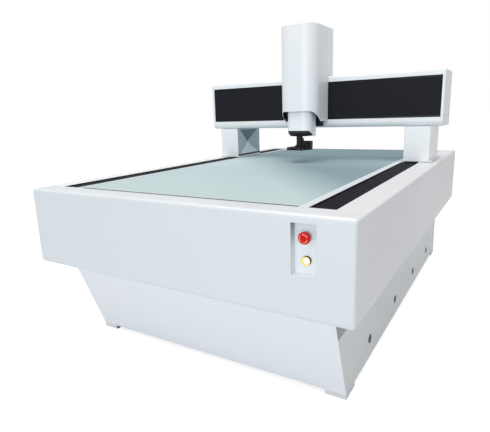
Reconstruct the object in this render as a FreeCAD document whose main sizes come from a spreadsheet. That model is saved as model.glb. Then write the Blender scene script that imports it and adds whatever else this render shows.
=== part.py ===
# Vision measuring machine of the moving-bridge type, millimetres, +Z up.
# The origin lies on the floor under the centre of the table. +X points to the right of an
# operator who stands in front, +Y to the back.
import FreeCAD
import Part
import Sketcher

import math
import os
import re

# Driving sizes. Every one can be changed by itself.
SIZES = {
    # Upper housing with its white rims round the top opening
    "table_width": 1450,
    "table_length": 2245,
    "table_height": 738,
    "housing_height": 334,
    "housing_sheet": 3,
    "housing_round": 14,
    "rim_side": 94,
    "rim_front": 96,
    "rim_rear": 94,
    "rim_lip": 13,
    "seam": 0.3,
    # Lower base, its front leans back towards the floor
    "base_inset": 96.4,
    "base_rear_inset": 40,
    "lean_top": 91.3,
    "lean_bottom": 237.4,
    "flange_seat": 8.6,
    "foot_height": 18.5,
    "foot_width": 82,
    "foot_length": 98,
    "tube": 80,
    "tube_wall": 5,
    "plug_hole": 32,
    "plug_head": 38,
    "plug_level": 104,
    "plug_first": 532,
    "plug_pitch": 447,
    # Stage: glass, its frame and the light below it
    "glass_thickness": 16,
    "glass_play": 0.3,
    "strip_width": 35,
    "stage_ledge": 15,
    "end_bar": 26,
    "backlight_margin": 35,
    "backlight_height": 22,
    # Cover bands beside the glass, each in a channel between the stage and the rim
    "band_channel": 91,
    "band_slot": 7,
    "band_depth": 4,
    "band_thickness": 2,
    # Stone slab and its jacks
    "granite_thickness": 154,
    "granite_gap": 20,
    "granite_overlap": 3.5,
    "jack_plate": 56,
    "jack_screw": 26,
    "jack_nut": 42,
    "jack_pitch": 750,
    # Profile rail guides: the long Y pair, and the smaller ones of X and Z
    "y_rail_width": 28,
    "y_rail_height": 26,
    "y_guide_height": 42,
    "y_block_width": 60,
    "y_block_length": 97,
    "rail_width": 20,
    "rail_height": 17.5,
    "guide_height": 30,
    "block_width": 44,
    "block_length": 77,
    "guide_play": 0.3,
    "rail_end_gap": 6.5,
    # Linear motors
    "magnet_width": 50,
    "magnet_thickness": 10,
    "magnet_offset": 14,
    "air_gap": 0.8,
    # Bridge
    "bridge_setback": 1428,
    "leg_proud": 2,
    "leg_gap": 3,
    "leg_width": 135,
    "leg_depth": 303,
    "leg_height": 194,
    "leg_sheet": 2,
    "leg_round": 4,
    "foot_gap": 3,
    "foot_plate": 6,
    "foot_flange": 15,
    "column_gap": 4,
    "crease_border": 32,
    "crease_margin": 10,
    "crease_depth": 16,
    "carriage_plate": 16,
    "carriage_gap": 20,
    "web": 3,
    "web_play": 2,
    # Beam with its window and cover band
    "beam_overhang": 11.5,
    "beam_depth": 242,
    "beam_height": 290,
    "beam_sheet": 2,
    "beam_bend": 30,
    "beam_top_bend": 10,
    "cap_thickness": 6,
    "core_depth": 178,
    "window_height": 216,
    "window_top_border": 27,
    "window_end_border": 14.5,
    "beam_slot": 8,
    "beam_band_thickness": 1.5,
    "beam_band_overlap": 7,
    "x_rail_spread": 154,
    # Measuring head
    "head_x": -13.5,
    "head_width": 223,
    "head_reach": 223,
    "head_rise": 276,
    "head_drop": 250,
    "head_overhang": 80,
    "head_step_gap": 12,
    "head_gap": 3,
    "head_corner": 80,
    "head_edge": 5,
    "head_sheet": 2,
    "head_front_depth": 113.5,
    "head_arch": 59,
    "head_arch_flat": 25,
    "head_arch_land": 3.5,
    "head_arch_bend": 50,
    "saddle_width": 180,
    "saddle_slack": 6,
    "saddle_front": 14,
    "saddle_back": 12,
    "saddle_fin": 5,
    "saddle_play": 1.5,
    "head_plate": 20,
    "head_foot_drop": 29,
    "head_foot_side": 8.5,
    "head_plate_top": 96,
    "z_rail_spread": 100,
    # Ball screw of the ram
    "screw_radius": 6,
    "journal_radius": 4,
    "screw_play": 0.06,
    "motor_side": 57,
    "motor_height": 66,
    "motor_flange": 12,
    # Ram
    "ram_setback": 22.5,
    "ram_width": 150,
    "ram_depth": 101,
    "ram_clear": 150,
    "ram_height": 362,
    "ram_corner": 50,
    "ram_arch": 34,
    "ram_arch_flat": 20,
    "ram_arch_land": 31,
    "ram_arch_bend": 28,
    "ram_plate": 12,
    "ram_floor": 32,
    "ram_floor_gap": 2,
    "ram_floor_bevel": 18,
    # Optics
    "axis_setback": 60,
    "lens_radius": 18.5,
    "lens_clamp_radius": 23,
    "lens_clear": 80,
    "lens_height": 304,
    "camera_side": 44,
    "camera_height": 65,
    "light_radius": 76,
    "light_clear": 77,
    "light_height": 24,
    "light_rim": 18,
    "light_step": 50,
    "light_bore": 60,
    "light_skirt": 6,
    "coax_length": 76,
    "coax_depth": 34,
    "coax_height": 30,
    "coax_fin": 3,
    # Control recess with its two buttons
    "pocket_side": 160.5,
    "pocket_drop": 109,
    "pocket_width": 83,
    "pocket_height": 164,
    "pocket_depth": 30,
    "pocket_sheet": 2,
    "estop_rise": 36,
    "estop_radius": 20,
    "estop_height": 15,
    "lamp_drop": 39,
    "lamp_radius": 13.4,
    "lamp_ring": 15.8,
    "button_hole": 11.1,
    "button_play": 0.06,
    # Mains inlet on the rear panel
    "inlet_x": -400,
    "inlet_z": 200,
    "inlet_width": 60,
    "inlet_height": 50,
}

# Places worked out from the driving sizes.
LAYOUT = {
    "half_width": "table_width / 2",
    "front": "-table_length / 2",
    "back": "table_length / 2",
    "housing_bottom": "table_height - housing_height",
    "rim_inner": "half_width - rim_side",
    "opening_front": "front + rim_front",
    "opening_back": "back - rim_rear",
    "base_half": "half_width - base_inset",
    "base_inner": "base_half - housing_sheet",
    "base_back": "back - base_rear_inset",
    "base_top_front": "front + lean_top",
    "base_low_front": "front + lean_bottom",
    "strip_outer": "rim_inner - band_channel",
    "glass_edge": "strip_outer - strip_width",
    "glass_bottom": "table_height - glass_thickness",
    "band_inner": "strip_outer + band_slot",
    "band_outer": "rim_inner - band_slot",
    "band_top": "table_height - band_depth",
    "band_bottom": "band_top - band_thickness",
    "plate_top": "band_bottom - carriage_gap",
    "plate_bottom": "plate_top - carriage_plate",
    "granite_top": "plate_bottom - y_guide_height",
    "granite_bottom": "granite_top - granite_thickness",
    "granite_half": "half_width - granite_gap",
    "granite_front": "opening_front - granite_overlap",
    "granite_back": "opening_back + granite_overlap",
    "y_rail_x": "(strip_outer + rim_inner) / 2",
    "y_rail_front": "opening_front + end_bar + rail_end_gap",
    "y_rail_back": "opening_back - end_bar - rail_end_gap",
    "magnet_in": "rim_inner + magnet_offset",
    "magnet_out": "magnet_in + magnet_width",
    "bridge_front": "front + bridge_setback",
    "leg_front": "bridge_front - leg_proud",
    "leg_back": "leg_front + leg_depth",
    "leg_in": "strip_outer + leg_gap",
    "leg_out": "leg_in + leg_width",
    "leg_bottom": "table_height + foot_gap",
    "leg_floor": "leg_bottom + foot_plate",
    "column_in": "leg_in + leg_sheet + crease_depth + column_gap",
    "column_out": "leg_out - leg_sheet - crease_depth - column_gap",
    "beam_bottom": "table_height + leg_height",
    "beam_top": "beam_bottom + beam_height",
    "beam_back": "bridge_front + beam_depth",
    "beam_half": "half_width + beam_overhang",
    "beam_end": "beam_half - cap_thickness",
    "beam_skin": "bridge_front + beam_sheet",
    "window_top": "beam_top - window_top_border",
    "window_bottom": "window_top - window_height",
    "window_edge": "beam_half - window_end_border",
    "window_middle": "(window_top + window_bottom) / 2",
    "head_front": "bridge_front - head_reach",
    "head_back": "bridge_front - head_gap",
    "head_seam": "head_front + head_front_depth",
    "head_tail": "bridge_front + head_overhang",
    "head_half": "head_width / 2",
    "head_top": "beam_top + head_rise",
    "head_bottom": "beam_top - head_drop",
    "head_step": "beam_top + head_step_gap",
    "ram_half": "ram_width / 2",
    "ram_front": "head_front + ram_setback",
    "ram_back": "ram_front + ram_depth",
    "ram_plate_front": "ram_back - ram_plate",
    "ram_bottom": "table_height + ram_clear",
    "ram_top": "ram_bottom + ram_height",
    "ram_floor_bottom": "ram_bottom + ram_floor_gap",
    "ram_floor_top": "ram_floor_bottom + ram_floor",
    "head_plate_front": "ram_back + guide_height",
    "head_plate_back": "head_plate_front + head_plate",
    "head_plate_end": "head_top - head_plate_top",
    "saddle_face": "bridge_front - saddle_slack + beam_sheet / 4",
    "saddle_low": "window_bottom + saddle_play",
    "saddle_high": "window_top - saddle_play",
    "saddle_rear": "beam_skin + saddle_slack + beam_band_thickness",
    "core_front": "saddle_rear + saddle_back + guide_height",
    "core_back": "core_front + core_depth",
    "screw_y": "ram_back + guide_height / 2",
    "z_block_high": "ram_top - 9 - block_length",
    "z_block_low": "z_block_high - block_length - 52",
    "axis_y": "head_front + axis_setback",
    "lens_bottom": "table_height + lens_clear",
    "lens_top": "lens_bottom + lens_height",
    "light_bottom": "table_height + light_clear",
    "light_top": "light_bottom + light_height",
    "pocket_x": "half_width - pocket_side",
    "pocket_z": "table_height - pocket_drop",
    "pocket_floor": "front + pocket_depth",
    "estop_z": "pocket_z + estop_rise",
    "lamp_z": "pocket_z - lamp_drop",
}

doc = FreeCAD.newDocument("vision_measuring_machine")
sheet_sizes = doc.addObject("Spreadsheet::Sheet", "Sizes")
sheet_layout = doc.addObject("Spreadsheet::Sheet", "Layout")


def bound(formula, inside_layout=False):
    """A formula of plain size names, written out as the sheets' own references."""

    def reference(match):
        word = match.group(0)
        if word in SIZES:
            return "Sizes." + word
        if word in LAYOUT and not inside_layout:
            return "Layout." + word
        return word

    return re.sub(r"[a-z][a-z0-9_]*", reference, formula)


def fill_sheets():
    """One row for each size: its name, and its value under that name."""
    for row, (name, value) in enumerate(SIZES.items(), 1):
        sheet_sizes.set(f"A{row}", name)
        sheet_sizes.set(f"B{row}", str(value))
        sheet_sizes.setAlias(f"B{row}", name)
    for row, name in enumerate(LAYOUT, 1):
        sheet_layout.set(f"A{row}", name)
        sheet_layout.setAlias(f"B{row}", name)
    doc.recompute()
    for row, formula in enumerate(LAYOUT.values(), 1):
        sheet_layout.set(f"B{row}", "=" + bound(formula, inside_layout=True))
    doc.recompute()


def value(name):
    """The number that a size or a place has in its sheet."""
    sheet = sheet_sizes if name in SIZES else sheet_layout
    return float(sheet.get(name))


fill_sheets()

# Ways to make a piece


def box(name, x, y, z):
    """A block between a low and a high limit on each axis."""
    block = doc.addObject("Part::Box", name)
    for side, axis, (low, high) in (("Length", "x", x), ("Width", "y", y), ("Height", "z", z)):
        block.setExpression(side, bound(f"({high}) - ({low})"))
        block.setExpression(f"Placement.Base.{axis}", bound(low))
    return block


TURN = {
    "+Z": FreeCAD.Rotation(),
    "+Y": FreeCAD.Rotation(FreeCAD.Vector(1, 0, 0), -90),
    "-Y": FreeCAD.Rotation(FreeCAD.Vector(1, 0, 0), 90),
    "+X": FreeCAD.Rotation(FreeCAD.Vector(0, 1, 0), 90),
}


def place(piece, x, y, z, axis="+Z"):
    """Turns a piece's own +Z to an axis and moves its origin to a point."""
    piece.Placement = FreeCAD.Placement(FreeCAD.Vector(), TURN[axis])
    for letter, formula in (("x", x), ("y", y), ("z", z)):
        piece.setExpression(f"Placement.Base.{letter}", bound(formula))
    return piece


def rod(name, x, y, z, axis, radius, length):
    """A round bar that starts at a point and runs along an axis."""
    bar = doc.addObject("Part::Cylinder", name)
    bar.setExpression("Radius", bound(radius))
    bar.setExpression("Height", bound(length))
    return place(bar, x, y, z, axis)


def origin_plane(body, role):
    return [plane for plane in body.Origin.OriginFeatures if plane.Role == role][0]


def outline_sketch(body, role, outline):
    """A closed polygon on an origin plane, each corner held at its two distances from the origin."""
    sketch = body.newObject("Sketcher::SketchObject", body.Name + "_outline")
    sketch.AttachmentSupport = [(origin_plane(body, role), "")]
    sketch.MapMode = "FlatFace"
    count = len(outline)
    start = [
        FreeCAD.Vector(math.cos(2 * math.pi * i / count), math.sin(2 * math.pi * i / count), 0)
        for i in range(count)
    ]
    for i in range(count):
        sketch.addGeometry(Part.LineSegment(start[i], start[(i + 1) % count]), False)
    for i in range(count):
        sketch.addConstraint(Sketcher.Constraint("Coincident", i, 2, (i + 1) % count, 1))
    for i, corner in enumerate(outline):
        for kind, number, formula in zip(("DistanceX", "DistanceY"), start[i], corner):
            index = sketch.addConstraint(Sketcher.Constraint(kind, -1, 1, i, 1, number))
            sketch.renameConstraint(index, f"{kind}{i}")
            sketch.setExpression(f"Constraints.{kind}{i}", bound(formula))
    return sketch


def prism(name, role, outline, low, high):
    """A body: a polygon on an origin plane, padded between two limits across that plane."""
    body = doc.addObject("PartDesign::Body", name)
    sketch = outline_sketch(body, role, outline)
    # The normal of the XZ plane points to -Y, so there the pad starts at its high limit.
    start = f"-({high})" if role == "XZ_Plane" else low
    sketch.setExpression("AttachmentOffset.Base.z", bound(start))
    pad = body.newObject("PartDesign::Pad", name + "_pad")
    pad.Profile = sketch
    pad.setExpression("Length", bound(f"({high}) - ({low})"))
    doc.recompute()
    return body


def turned(name, outline, x="0", y="0", z="0", axis="+Z"):
    """A body turned on a lathe: (radius, height) corners about its own Z, laid along an axis."""
    body = doc.addObject("PartDesign::Body", name)
    sketch = outline_sketch(body, "XZ_Plane", outline)
    turn = body.newObject("PartDesign::Revolution", name + "_turn")
    turn.Profile = sketch
    turn.ReferenceAxis = (sketch, ["V_Axis"])
    turn.Angle = 360
    place(body, x, y, z, axis)
    doc.recompute()
    return body


def dress(body, kind, size, wanted):
    """Rounds or bevels the edges of a body that a test picks out."""
    doc.recompute()
    before = body.Tip
    names = [f"Edge{i}" for i, edge in enumerate(before.Shape.Edges, 1) if wanted(edge)]
    feature = body.newObject("PartDesign::" + kind, f"{body.Name}_{kind}_{len(body.Group)}")
    feature.Base = (before, names)
    feature.setExpression("Radius" if kind == "Fillet" else "Size", bound(size))
    body.Tip = feature
    doc.recompute()
    return body


def along(edge, axis):
    """Whether an edge is straight and runs along an axis."""
    if not isinstance(edge.Curve, Part.Line):
        return False
    direction = edge.Curve.Direction
    return abs(getattr(direction, axis)) > 0.999


def at(edge, **place_of):
    """Whether the middle of an edge lies at the given coordinates."""
    middle = edge.CenterOfMass
    return all(abs(getattr(middle, axis) - number) < 0.01 for axis, number in place_of.items())


def fused(name, *pieces):
    joined = doc.addObject("Part::MultiFuse", name)
    joined.Shapes = list(pieces)
    joined.Refine = True
    return joined


def cut(name, base, *tools):
    """A piece with one or more others taken away from it."""
    result = doc.addObject("Part::Cut", name)
    result.Base = base
    result.Tool = tools[0] if len(tools) == 1 else fused(name + "_tools", *tools)
    result.Refine = True
    return result


def group(name, *pieces):
    """Separate solids that share one file."""
    compound = doc.addObject("Part::Compound", name)
    compound.Links = list(pieces)
    return compound


def common(name, first, second):
    part = doc.addObject("Part::Common", name)
    part.Base = first
    part.Tool = second
    return part


def square_tube(name, x, y, z, axis):
    """A box section: a block with a square hole along its length."""
    limits = dict(zip("xyz", (x, y, z)))
    hole = {
        letter: (f"{low} - 1", f"{high} + 1") if letter == axis
        else (f"{low} + tube_wall", f"{high} - tube_wall")
        for letter, (low, high) in limits.items()
    }
    return cut(name, box(name + "_solid", x, y, z), box(name + "_hole", *hole.values()))


def sided(side, low, high):
    """The limits on X of a piece on the right, or of its twin on the left."""
    return (low, high) if side > 0 else (f"-({high})", f"-({low})")


def rectangle(across, up):
    """The four corners of a rectangle between two pairs of limits."""
    (left, right), (low, high) = across, up
    return [(left, low), (right, low), (right, high), (left, high)]


SIDES = {"left": -1, "right": 1}
NODES = []


def keep(piece):
    """Marks a finished piece: its label is the name of its file."""
    piece.Label = piece.Name
    NODES.append(piece)
    return piece


# Guides: a waisted rail and the block that rides on it, drawn across the rail


def rail_outline(width, height):
    """Half of the rail's corners from the middle outwards: (sideways, upwards)."""
    half = [
        (f"{width} / 2", "0"),
        (f"{width} / 2", f"{height} * 0.4"),
        (f"{width} * 0.38", f"{height} * 0.52"),
        (f"{width} * 0.38", f"{height} * 0.68"),
        (f"{width} / 2", f"{height} * 0.8"),
        (f"{width} / 2", f"{height}"),
    ]
    return half + [(f"-({a})", b) for a, b in reversed(half)]


def block_outline(width, rail_wide, rail_high, height):
    """The guide block: a saddle that reaches down both sides of its rail."""
    slot = f"({rail_wide} / 2 + guide_play)"
    roof = f"({rail_high} + guide_play)"
    skirt = f"{rail_high} * 0.3"
    return [
        (f"{width} / 2", skirt),
        (f"{width} / 2", height),
        (f"-{width} / 2", height),
        (f"-{width} / 2", skirt),
        (f"-{slot}", skirt),
        (f"-{slot}", roof),
        (slot, roof),
        (slot, skirt),
    ]


def on_floor(outline, x, z):
    """Guide corners in the XZ plane: a rail that lies on a floor."""
    return [(f"({x}) + ({a})", f"({z}) + ({b})") for a, b in outline]


def on_wall(outline, y, z):
    """Guide corners in the YZ plane: a rail that runs along X on a wall that faces -Y."""
    return [(f"({y}) - ({b})", f"({z}) + ({a})") for a, b in outline]


def on_plate(outline, x, y):
    """Guide corners in the XY plane: a rail that stands up on a wall that faces -Y."""
    return [(f"({x}) + ({a})", f"({y}) - ({b})") for a, b in outline]


# Lower base: four corner feet, a tube frame and its sheet panels


def lower_base():
    feet = []
    for word, side in SIDES.items():
        across = sided(side, "base_half - foot_width", "base_half")
        for end, low, high in (
            ("front", "base_low_front", "base_low_front + foot_length"),
            ("rear", "base_back - foot_length", "base_back"),
        ):
            feet.append(box(f"foot_{word}_{end}", across, (low, high), ("0", "foot_height")))
    keep(group("foot_pads", *feet))

    low_level = ("foot_height", "foot_height + tube")
    high_level = ("housing_bottom - tube", "housing_bottom")
    low_start = "base_low_front + housing_sheet + 6"
    high_start = "base_low_front - (lean_bottom - lean_top) * 0.7"
    end = "base_back - housing_sheet"
    members = []
    for word, side in SIDES.items():
        across = sided(side, "base_inner - tube", "base_inner")
        members.append(square_tube(f"rail_low_{word}", across, (low_start, end), low_level, "y"))
        members.append(square_tube(f"rail_high_{word}", across, (high_start, end), high_level, "y"))
        for i, start in enumerate((low_start, "-jack_pitch / 3", "jack_pitch / 2", f"{end} - tube")):
            y = (start, f"({start}) + tube")
            upright = ("foot_height + tube", "housing_bottom - tube")
            members.append(square_tube(f"post_{word}_{i}", across, y, upright, "z"))
    inner = ("-(base_inner - tube)", "base_inner - tube")
    for i, start in enumerate((low_start, "-jack_pitch / 3", f"{end} - tube")):
        y = (start, f"({start}) + tube")
        members.append(square_tube(f"cross_low_{i}", inner, y, low_level, "x"))
        members.append(square_tube(f"cross_high_{i}", inner, y, high_level, "x"))
    keep(group("base_frame", *members))

    # The leaning front sheet covers the front edges of the two side panels.
    sheet_run = "housing_sheet * 1.07"
    slope = [("base_top_front", "housing_bottom"), ("base_low_front", "foot_height")]
    behind = [(f"{y} + {sheet_run}", z) for y, z in reversed(slope)]
    keep(prism("base_front_panel", "YZ_Plane", slope + behind, "-base_half", "base_half"))

    side_outline = behind + [("base_back", "housing_bottom"), ("base_back", "foot_height")]
    side_outline = [behind[1], behind[0], side_outline[3], side_outline[2]]
    plugs = []
    for word, side in SIDES.items():
        low, high = sided(side, "base_inner", "base_half")
        panel = prism(f"{word}_panel_blank", "YZ_Plane", side_outline, low, high)
        holes = []
        for i in range(4):
            y = f"front + plug_first + {i} * plug_pitch"
            start = "base_inner - 2" if side > 0 else "-base_half - 3"
            length = "housing_sheet + 5"
            holes.append(rod(f"{word}_hole_{i}", start, y, "plug_level", "+X", "plug_hole / 2", length))
            shank = "plug_hole * 0.35"
            seat = box(f"{word}_plug_seat_{i}", (low, high), (f"{y} - {shank}", f"{y} + {shank}"),
                       (f"plug_level - {shank}", f"plug_level + {shank}"))
            head = rod(f"{word}_plug_head_{i}", sided(side, "base_half", "base_half + 2")[0], y,
                       "plug_level", "+X", "plug_head / 2", "2")
            plugs.append(fused(f"{word}_plug_{i}", seat, head))
        keep(cut(f"base_{word}_panel", panel, *holes))
    keep(group("hole_plugs", *plugs))

    rear = box("rear_panel_blank", ("-base_inner", "base_inner"),
               ("base_back - housing_sheet", "base_back"), ("foot_height", "housing_bottom"))
    gap = box("inlet_cutout", ("inlet_x - inlet_width * 0.28", "inlet_x + inlet_width * 0.28"),
              ("base_back - housing_sheet - 1", "base_back + 1"),
              ("inlet_z - inlet_height * 0.26", "inlet_z + inlet_height * 0.26"))
    keep(cut("base_rear_panel", rear, gap))


def mains_inlet():
    """A three-pin appliance inlet: flange, body, open mouth and its blades."""
    half_w, half_h = "inlet_width * 0.28 - 0.2", "inlet_height * 0.26 - 0.2"
    flange = box("inlet_flange", ("inlet_x - inlet_width / 2", "inlet_x + inlet_width / 2"),
                 ("base_back", "base_back + 3"),
                 ("inlet_z - inlet_height / 2", "inlet_z + inlet_height / 2"))
    body = box("inlet_body", (f"inlet_x - ({half_w})", f"inlet_x + ({half_w})"),
               ("base_back - 22", "base_back + 1"), (f"inlet_z - ({half_h})", f"inlet_z + ({half_h})"))
    mouth = box("inlet_mouth", (f"inlet_x - ({half_w}) + 3", f"inlet_x + ({half_w}) - 3"),
                ("base_back - 17", "base_back + 4"),
                (f"inlet_z - ({half_h}) + 3", f"inlet_z + ({half_h}) - 3"))
    blades = [
        box(f"inlet_blade_{i}", (f"inlet_x + {x} - 1", f"inlet_x + {x} + 1"),
            ("base_back - 18", "base_back - 6"), (f"inlet_z + {z} - 2", f"inlet_z + {z} + 2"))
        for i, (x, z) in enumerate(((-7, -2), (0, 2), (7, -2)))
    ]
    shell = cut("inlet_shell", fused("inlet_solid", flange, body), mouth)
    keep(fused("power_inlet", shell, *blades))


# Upper housing: one rounded sheet shell, parted into four covers


def housing():
    outside = prism("housing_outside", "XY_Plane",
                    rectangle(("-half_width", "half_width"), ("front", "back")),
                    "housing_bottom", "table_height")
    dress(outside, "Fillet", "housing_round", lambda edge: True)
    wall = "housing_sheet"
    inside = prism("housing_inside", "XY_Plane",
                   rectangle((f"-half_width + {wall}", f"half_width - {wall}"),
                             (f"front + {wall}", f"back - {wall}")),
                   f"housing_bottom + {wall}", f"table_height - {wall}")
    dress(inside, "Chamfer", "housing_round / 2", lambda edge: True)
    top_hole = box("housing_top_hole", ("-rim_inner", "rim_inner"), ("opening_front", "opening_back"),
                   ("table_height - rim_lip - 1", "table_height + 1"))
    floor_hole = box("housing_floor_hole", ("-(base_half - flange_seat)", "base_half - flange_seat"),
                     (f"base_top_front + {wall}", "base_back - flange_seat"),
                     ("housing_bottom - 1", f"housing_bottom + {wall} + 1"))
    window = box("control_window",
                 ("pocket_x - pocket_width / 2", "pocket_x + pocket_width / 2"),
                 ("front - 1", f"front + {wall} + 1"),
                 ("pocket_z - pocket_height / 2", "pocket_z + pocket_height / 2"))
    lip = box("rim_lip_block", (f"-rim_inner - {wall}", f"rim_inner + {wall}"),
              (f"opening_front - {wall}", f"opening_back + {wall}"),
              ("table_height - rim_lip", f"table_height - {wall} / 2"))
    shell = cut("housing_shell", outside, inside)
    full = fused("housing_with_lip", shell, lip)
    whole = cut("housing_open", full, top_hole, floor_hole, window)

    level = ("housing_bottom - 5", "table_height + 5")
    wide = ("-half_width - 5", "half_width + 5")
    middle = ("opening_front + seam / 2", "opening_back - seam / 2")
    regions = {
        "front_cover": (wide, ("front - 5", "opening_front - seam / 2")),
        "left_cover": (("-half_width - 5", "0"), middle),
        "right_cover": (("0", "half_width + 5"), middle),
        "rear_cover": (wide, ("opening_back + seam / 2", "back + 5")),
    }
    for name, (x, y) in regions.items():
        keep(common(name, whole, box(name + "_region", x, y, level)))


# Stone slab, its jacks, and the stage with its glass


def square_plate(name, x, y, width, level):
    """A square plate about an upright axis."""
    return box(name, (f"{x} - {width} / 2", f"{x} + {width} / 2"),
               (f"{y} - {width} / 2", f"{y} + {width} / 2"), level)


def jack(name, x, y):
    """A levelling jack: foot plate, screw, nut and head plate, from the frame up to the slab."""
    low, high = "housing_bottom", "granite_bottom"
    return fused(
        name,
        square_plate(name + "_foot", x, y, "jack_plate", (low, f"{low} + 10")),
        square_plate(name + "_nut", x, y, "jack_nut", (f"{low} + 40", f"{low} + 56")),
        square_plate(name + "_head", x, y, "jack_plate", (f"{high} - 10", high)),
        rod(name + "_screw", x, y, low, "+Z", "jack_screw / 2", f"{high} - ({low})"),
    )


def slab_and_stage():
    slab = prism("granite_table", "XY_Plane",
                 rectangle(("-granite_half", "granite_half"), ("granite_front", "granite_back")),
                 "granite_bottom", "granite_top")
    dress(slab, "Chamfer", "4", lambda edge: True)
    keep(slab)

    jacks = [
        jack(f"jack_{word}_{end}", f"{side} * (base_inner - tube / 2)", y)
        for word, side in SIDES.items()
        for end, y in (("front", "-jack_pitch"), ("rear", "jack_pitch"))
    ]
    keep(group("granite_supports", *jacks))

    # Side rails with a ledge for the glass. Their tops are the pale strips beside it.
    bars = []
    run = ("opening_front + end_bar", "opening_back - end_bar")
    for word, side in SIDES.items():
        outline = [
            ("glass_edge - stage_ledge", "granite_top"),
            ("strip_outer - glass_play", "granite_top"),
            ("strip_outer - glass_play", "table_height"),
            ("glass_edge + glass_play", "table_height"),
            ("glass_edge + glass_play", "glass_bottom"),
            ("glass_edge - stage_ledge", "glass_bottom"),
        ]
        if side < 0:
            outline = [(f"-({x})", z) for x, z in reversed(outline)]
        bars.append(prism(f"stage_rail_{word}", "XZ_Plane", outline, *run))
    # End bars: low under the glass, full height at the strips, and a seat for each band.
    half = [
        ("band_outer", "granite_top"), ("band_outer", "band_bottom"), ("band_inner", "band_bottom"),
        ("strip_outer - glass_play", "band_bottom"), ("strip_outer - glass_play", "table_height"),
        ("glass_edge + glass_play", "table_height"), ("glass_edge + glass_play", "glass_bottom"),
    ]
    outline = half + [(f"-({x})", z) for x, z in reversed(half)]
    bars.append(prism("end_bar_front", "XZ_Plane", outline, "opening_front + glass_play",
                      "opening_front + end_bar"))
    bars.append(prism("end_bar_rear", "XZ_Plane", outline, "opening_back - end_bar",
                      "opening_back - glass_play"))
    keep(group("stage_frame", *bars))

    glass = prism("glass_plate", "XY_Plane",
                  rectangle(("-glass_edge", "glass_edge"),
                            ("opening_front + glass_play", "opening_back - glass_play")),
                  "glass_bottom", "table_height")
    dress(glass, "Chamfer", "1.5", lambda edge: at(edge, z=value("table_height")))
    keep(glass)

    # Light panel: a shallow tray whose rim holds the diffuser.
    x = ("-(glass_edge - backlight_margin)", "glass_edge - backlight_margin")
    y = ("opening_front + backlight_margin + end_bar", "opening_back - backlight_margin - end_bar")
    top = "granite_top + backlight_height"
    panel = prism("backlight_panel", "XY_Plane", rectangle(x, y), "granite_top", top)
    dress(panel, "Fillet", "6", lambda edge: along(edge, "z"))
    dress(panel, "Chamfer", "3", lambda edge: at(edge, z=value("granite_top") + value("backlight_height")))
    keep(panel)

    run = ("y_rail_front", "y_rail_back")
    rails = []
    tracks = []
    bands = []
    outline = rail_outline("y_rail_width", "y_rail_height")
    for word, side in SIDES.items():
        corners = on_floor(outline, f"{side} * y_rail_x", "granite_top")
        rails.append(prism(f"y_rail_{word}", "XZ_Plane", corners, *run))
        tracks.append(box(f"y_track_{word}", sided(side, "magnet_in", "magnet_out"), run,
                          ("granite_top", "granite_top + magnet_thickness")))
        bands.append(box(f"y_band_{word}", sided(side, "band_inner", "band_outer"),
                         ("opening_front + glass_play", "opening_back - glass_play"),
                         ("band_bottom", "band_top")))
    keep(group("y_rails", *rails))
    keep(group("y_motor_tracks", *tracks))
    keep(group("y_bands", *bands))


# Bridge: carriages, two uprights in their creased covers, and the beam


def bridge_legs():
    blocks = []
    coils = []
    outline = block_outline("y_block_width", "y_rail_width", "y_rail_height", "y_guide_height")
    ends = {
        "front": ("leg_front + 8", "leg_front + 8 + y_block_length"),
        "rear": ("leg_back - 8 - y_block_length", "leg_back - 8"),
    }
    for word, side in SIDES.items():
        corners = on_floor(outline, f"{side} * y_rail_x", "granite_top")
        for end, run in ends.items():
            blocks.append(prism(f"y_block_{word}_{end}", "XZ_Plane", corners, *run))
        coils.append(box(f"y_coil_{word}", sided(side, "magnet_in", "magnet_out"),
                         ("leg_front + 20", "leg_back - 20"),
                         ("granite_top + magnet_thickness + air_gap", "plate_bottom")))
    keep(group("y_carriages", *blocks))
    keep(group("y_motor_coils", *coils))

    depth = ("leg_front", "leg_back")
    for word, side in SIDES.items():
        # One casting: the plate under the band, two webs beside it, the foot and the column.
        plate = box(f"carriage_plate_{word}", sided(side, "leg_in", "magnet_out + 5"), depth,
                    ("plate_bottom", "plate_top"))
        inner_web = box(f"inner_web_{word}", sided(side, "leg_in", "leg_in + web"), depth,
                        ("plate_top", "leg_bottom"))
        outer_web = box(f"outer_web_{word}",
                        sided(side, "rim_inner - web_play - web", "rim_inner - web_play"), depth,
                        ("plate_top", "leg_bottom"))
        foot = box(f"leg_foot_{word}", sided(side, "leg_in", "leg_out + foot_flange"), depth,
                   ("leg_bottom", "leg_floor"))
        column = box(f"leg_column_{word}", sided(side, "column_in", "column_out"),
                     ("leg_front + leg_sheet + column_gap", "leg_back - leg_sheet - column_gap"),
                     ("leg_floor", "beam_bottom - leg_sheet"))
        keep(fused(f"leg_upright_{word}", plate, inner_web, outer_web, foot, column))

        x = sided(side, "leg_in", "leg_out")
        wall = "leg_sheet"
        outside = prism(f"leg_outside_{word}", "XY_Plane", rectangle(x, depth), "leg_floor",
                        "beam_bottom")
        dress(outside, "Fillet", "leg_round", lambda edge: along(edge, "z"))
        room = box(f"leg_room_{word}", (f"{x[0]} + {wall}", f"{x[1]} - {wall}"),
                   (f"leg_front + {wall}", f"leg_back - {wall}"), ("leg_floor - 1", f"beam_bottom - {wall}"))
        hollow = cut(f"leg_hollow_{word}", outside, room)
        backs = [creased_panel(f"crease_back_{word}_{i}", x[i], i, "crease_depth + leg_sheet")
                 for i in (0, 1)]
        dents = [creased_panel(f"crease_dent_{word}_{i}", x[i], i, "crease_depth") for i in (0, 1)]
        keep(cut(f"leg_cover_{word}", fused(f"leg_backed_{word}", hollow, *backs), *dents))


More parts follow.
